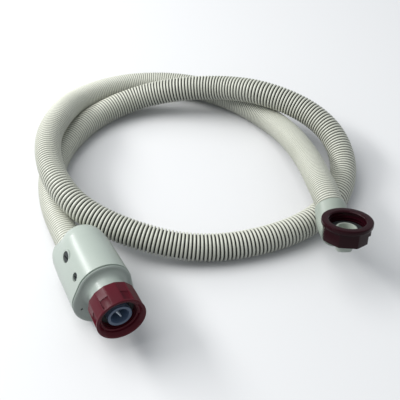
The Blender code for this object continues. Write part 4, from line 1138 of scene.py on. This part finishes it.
class HOSE_OT_machine_end(bpy.types.Operator):
    """Build the machine end's coupling nut and elbow"""

    bl_idname = "inlet_hose.machine_end"
    bl_label = "Machine end"

    def execute(self, context):
        look = context.scene.inlet_hose_nuts
        # Dyed burgundy nylon, coloured nearly black as painted shade, because the nut's faces turn away from
        # the light
        dark = (look.machine, look.machine_shade)
        nylon = moulded("nylon_machine_nut", *dark, roughness=0.18, level=0.08, coat=0.08)
        nut = lathe(rounded(MACHINE_NUT_PROFILE), MACHINE_NUT_SIDES)
        panels = (MACHINE_PANEL_RADIUS, typed(look.flatness), MACHINE_PANEL_START, MACHINE_PANEL_END)
        flatten_panels(nut, MACHINE_PANELS, MACHINE_PANEL_ANGLE, *panels)
        cuts = []
        for angle in NOTCH_ANGLES:
            place = Matrix.Rotation(angle, 4, "Z") @ Matrix.Translation(NOTCH_PLACE)
            cuts.append(block(NOTCH_SIZE, place, NOTCH_ROUNDING))
        nut = combine(nut, merged(cuts), "DIFFERENCE")
        where = ("nut", "machine_nut", ["machine_nut"], NUT_SHARP_ANGLE)
        finish_piece(nut, "machine_coupling_nut", MACHINE, nylon, *where)
        ridge = thread(THREAD_START, MACHINE_THREAD_TURNS)
        finish_piece(ridge, "machine_nut_thread", MACHINE, nylon, "nut", "machine_nut")
        ends = context.scene.inlet_hose_ends
        # Moulded ABS: the sleeve's grey-green without the sleeve's painted shade, so a little lighter
        skin = moulded("abs_elbow", ends.elbow, ends.elbow_shade, roughness=0.36)
        finish_piece(elbow_bmesh(), "elbow_moulding", MACHINE, skin, "sleeve", "hose", ["elbow"])
        return {"FINISHED"}


class HOSE_OT_inner_parts(bpy.types.Operator):
    """Wind the valve's spring, and give the inner CAD parts their materials"""

    bl_idname = "inlet_hose.inner_parts"
    bl_label = "Inner parts"

    def execute(self, context):
        # Black EPDM rubber: dull, with a fine grain
        black = (to_linear("#1E1F20"), to_linear("#242526"))
        rubber = moulded("epdm_rubber", *black, roughness=0.62, grain=0.0002)
        # Moulded polypropylene: blue-grey with a soft sheen
        blue_grey = (to_linear("#76879C"), to_linear("#67798F"))
        moulding = moulded("polypropylene_valve", *blue_grey, roughness=0.34)
        # Drawn stainless steel: bright, with fine uneven gloss
        steel = metal("spring_steel", to_linear("#B8BABD"), roughness=0.30)
        # Pressed cellulose: fibrous, straw-coloured and quite dull
        straw = (to_linear("#C9B68A"), to_linear("#B9A578"))
        felt = moulded("cellulose_pad", *straw, roughness=0.90, grain=0.0003, relief=0.0001)
        for name in ("tap_washer", "machine_washer", "poppet_seal", "inner_hose"):
            dress_node(name, rubber)
        for name in ("valve_body", "valve_poppet", "trigger_plunger", "trigger_cage"):
            dress_node(name, moulding)
        for name in ("tap_ferrule", "machine_ferrule"):
            dress_node(name, steel)
        outline = []
        for index in range(SPRING_SIDES):
            angle = math.tau * index / SPRING_SIDES
            across = SPRING_RADIUS + SPRING_WIRE * math.cos(angle)
            outline.append((across, 0.0, -SPRING_START + SPRING_WIRE * math.sin(angle)))
        pitch = (SPRING_STOP - SPRING_START) / SPRING_TURNS
        coil = helix(outline, pitch, SPRING_TURNS)
        spring = finish_piece(coil, "coil_spring", TAP, steel, "steel", "hose", ["holding_spring"])
        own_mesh(spring)
        dress_node("swell_pad", felt)
        return {"FINISHED"}


def floor_paper(shown_colour, bounce_colour):
    """Matt paper that looks pale, but throws less light back on the hose."""
    material, tree = new_material("floor_paper")
    ray = add_node(tree, "ShaderNodeLightPath")
    rays = {0: (ray, "Is Camera Ray"), 1: (ray, "Is Glossy Ray")}
    seen = add_node(tree, "ShaderNodeMath", {"operation": "ADD"}, {}, rays)
    rays = {0: (seen, "Value"), 1: (ray, "Is Transmission Ray")}
    shown = add_node(tree, "ShaderNodeMath", {"operation": "ADD", "use_clamp": True}, {}, rays)
    tones = {"A": bounce_colour, "B": shown_colour}
    tone = add_node(tree, "ShaderNodeMix", {"data_type": "RGBA"}, tones, {"Factor": (shown, "Value")})
    skin = {"Base Color": (tone, "Result")}
    shader = add_node(tree, "ShaderNodeBsdfPrincipled", {}, {"Roughness": FLOOR_ROUGHNESS}, skin)
    add_node(tree, "ShaderNodeOutputMaterial", links={"Surface": (shader, "BSDF")})
    return material


def light_turn(spot):
    """The turn of a light that faces the hose, with its long side along the tap's axis."""
    behind = (spot - LIGHT_AIM).normalized()
    along = TAP.to_3x3() @ Vector(OUTWARD)
    along = (along - behind * along.dot(behind)).normalized()
    return Matrix((along, behind.cross(along), behind)).transposed().to_euler()


class HOSE_OT_stage(bpy.types.Operator):
    """Lay the floor, and set the lights and the camera"""

    bl_idname = "inlet_hose.stage"
    bl_label = "Stage"

    def execute(self, context):
        scene = context.scene
        look = scene.inlet_hose_stage
        bm = bmesh.new()
        bmesh.ops.create_grid(bm, x_segments=1, y_segments=1, size=FLOOR_SIZE)
        mesh = bpy.data.meshes.new("floor")
        bm.to_mesh(mesh)
        bm.free()
        mesh.materials.append(floor_paper(look.floor, look.floor_bounce))
        floor = bpy.data.objects.new("floor", mesh)
        scene.collection.objects.link(floor)
        world = bpy.data.worlds.new("studio")
        scene.world = world
        world.use_nodes = True
        back = world.node_tree.nodes["Background"]
        back.inputs["Color"].default_value = SKY
        back.inputs["Strength"].default_value = look.sky
        powers = {"key": look.key, "top": look.top}
        for name, (spot, size) in LIGHTS.items():
            data = bpy.data.lights.new(name, "AREA")
            data.shape = "RECTANGLE"
            data.size, data.size_y = size
            data.energy = powers[name]
            lamp = bpy.data.objects.new(name, data)
            lamp.location = spot
            lamp.rotation_euler = light_turn(Vector(spot))
            scene.collection.objects.link(lamp)
        camera = bpy.data.cameras.new("camera")
        camera.lens = look.lens
        camera.sensor_width = SENSOR_WIDTH
        eye = bpy.data.objects.new("camera", camera)
        eye.location = CAMERA_PLACE
        eye.rotation_euler = CAMERA_TURN
        scene.collection.objects.link(eye)
        scene.camera = eye
        scene.view_settings.view_transform = "Standard"
        return {"FINISHED"}


class HOSE_PT_panel(bpy.types.Panel):
    """Lists the steps that build the hose, and their settings"""

    bl_label = "Inlet hose"
    bl_idname = "HOSE_PT_panel"
    bl_space_type = "VIEW_3D"
    bl_region_type = "UI"
    bl_category = "Inlet hose"

    def draw(self, context):
        for step in STEPS:
            self.layout.operator(step.bl_idname)
        for group, kind in SETTINGS.items():
            box = self.layout.box()
            for key in kind.__annotations__:
                box.prop(getattr(context.scene, group), key)


SETTINGS = {
    "inlet_hose_jacket": JacketSettings,
    "inlet_hose_ends": EndSettings,
    "inlet_hose_housing": HousingSettings,
    "inlet_hose_nuts": NutSettings,
    "inlet_hose_stage": StageSettings,
}
STEPS = (
    HOSE_OT_stage,
    HOSE_OT_jacket,
    HOSE_OT_sleeve,
    HOSE_OT_housing,
    HOSE_OT_tap_nut,
    HOSE_OT_machine_end,
    HOSE_OT_inner_parts,
)
CLASSES = (*SETTINGS.values(), *STEPS, HOSE_PT_panel)


def register():
    """Register the settings, the operators and the panel."""
    for kind in CLASSES:
        bpy.utils.register_class(kind)
    for group, kind in SETTINGS.items():
        setattr(bpy.types.Scene, group, bpy.props.PointerProperty(type=kind))


def unregister():
    """Take everything away again."""
    for group in SETTINGS:
        delattr(bpy.types.Scene, group)
    for kind in reversed(CLASSES):
        bpy.utils.unregister_class(kind)


def main():
    """Build the whole hose."""
    register()
    for step in STEPS:
        group, name = step.bl_idname.split(".")
        getattr(getattr(bpy.ops, group), name)()


if __name__ == "__main__":
    main()
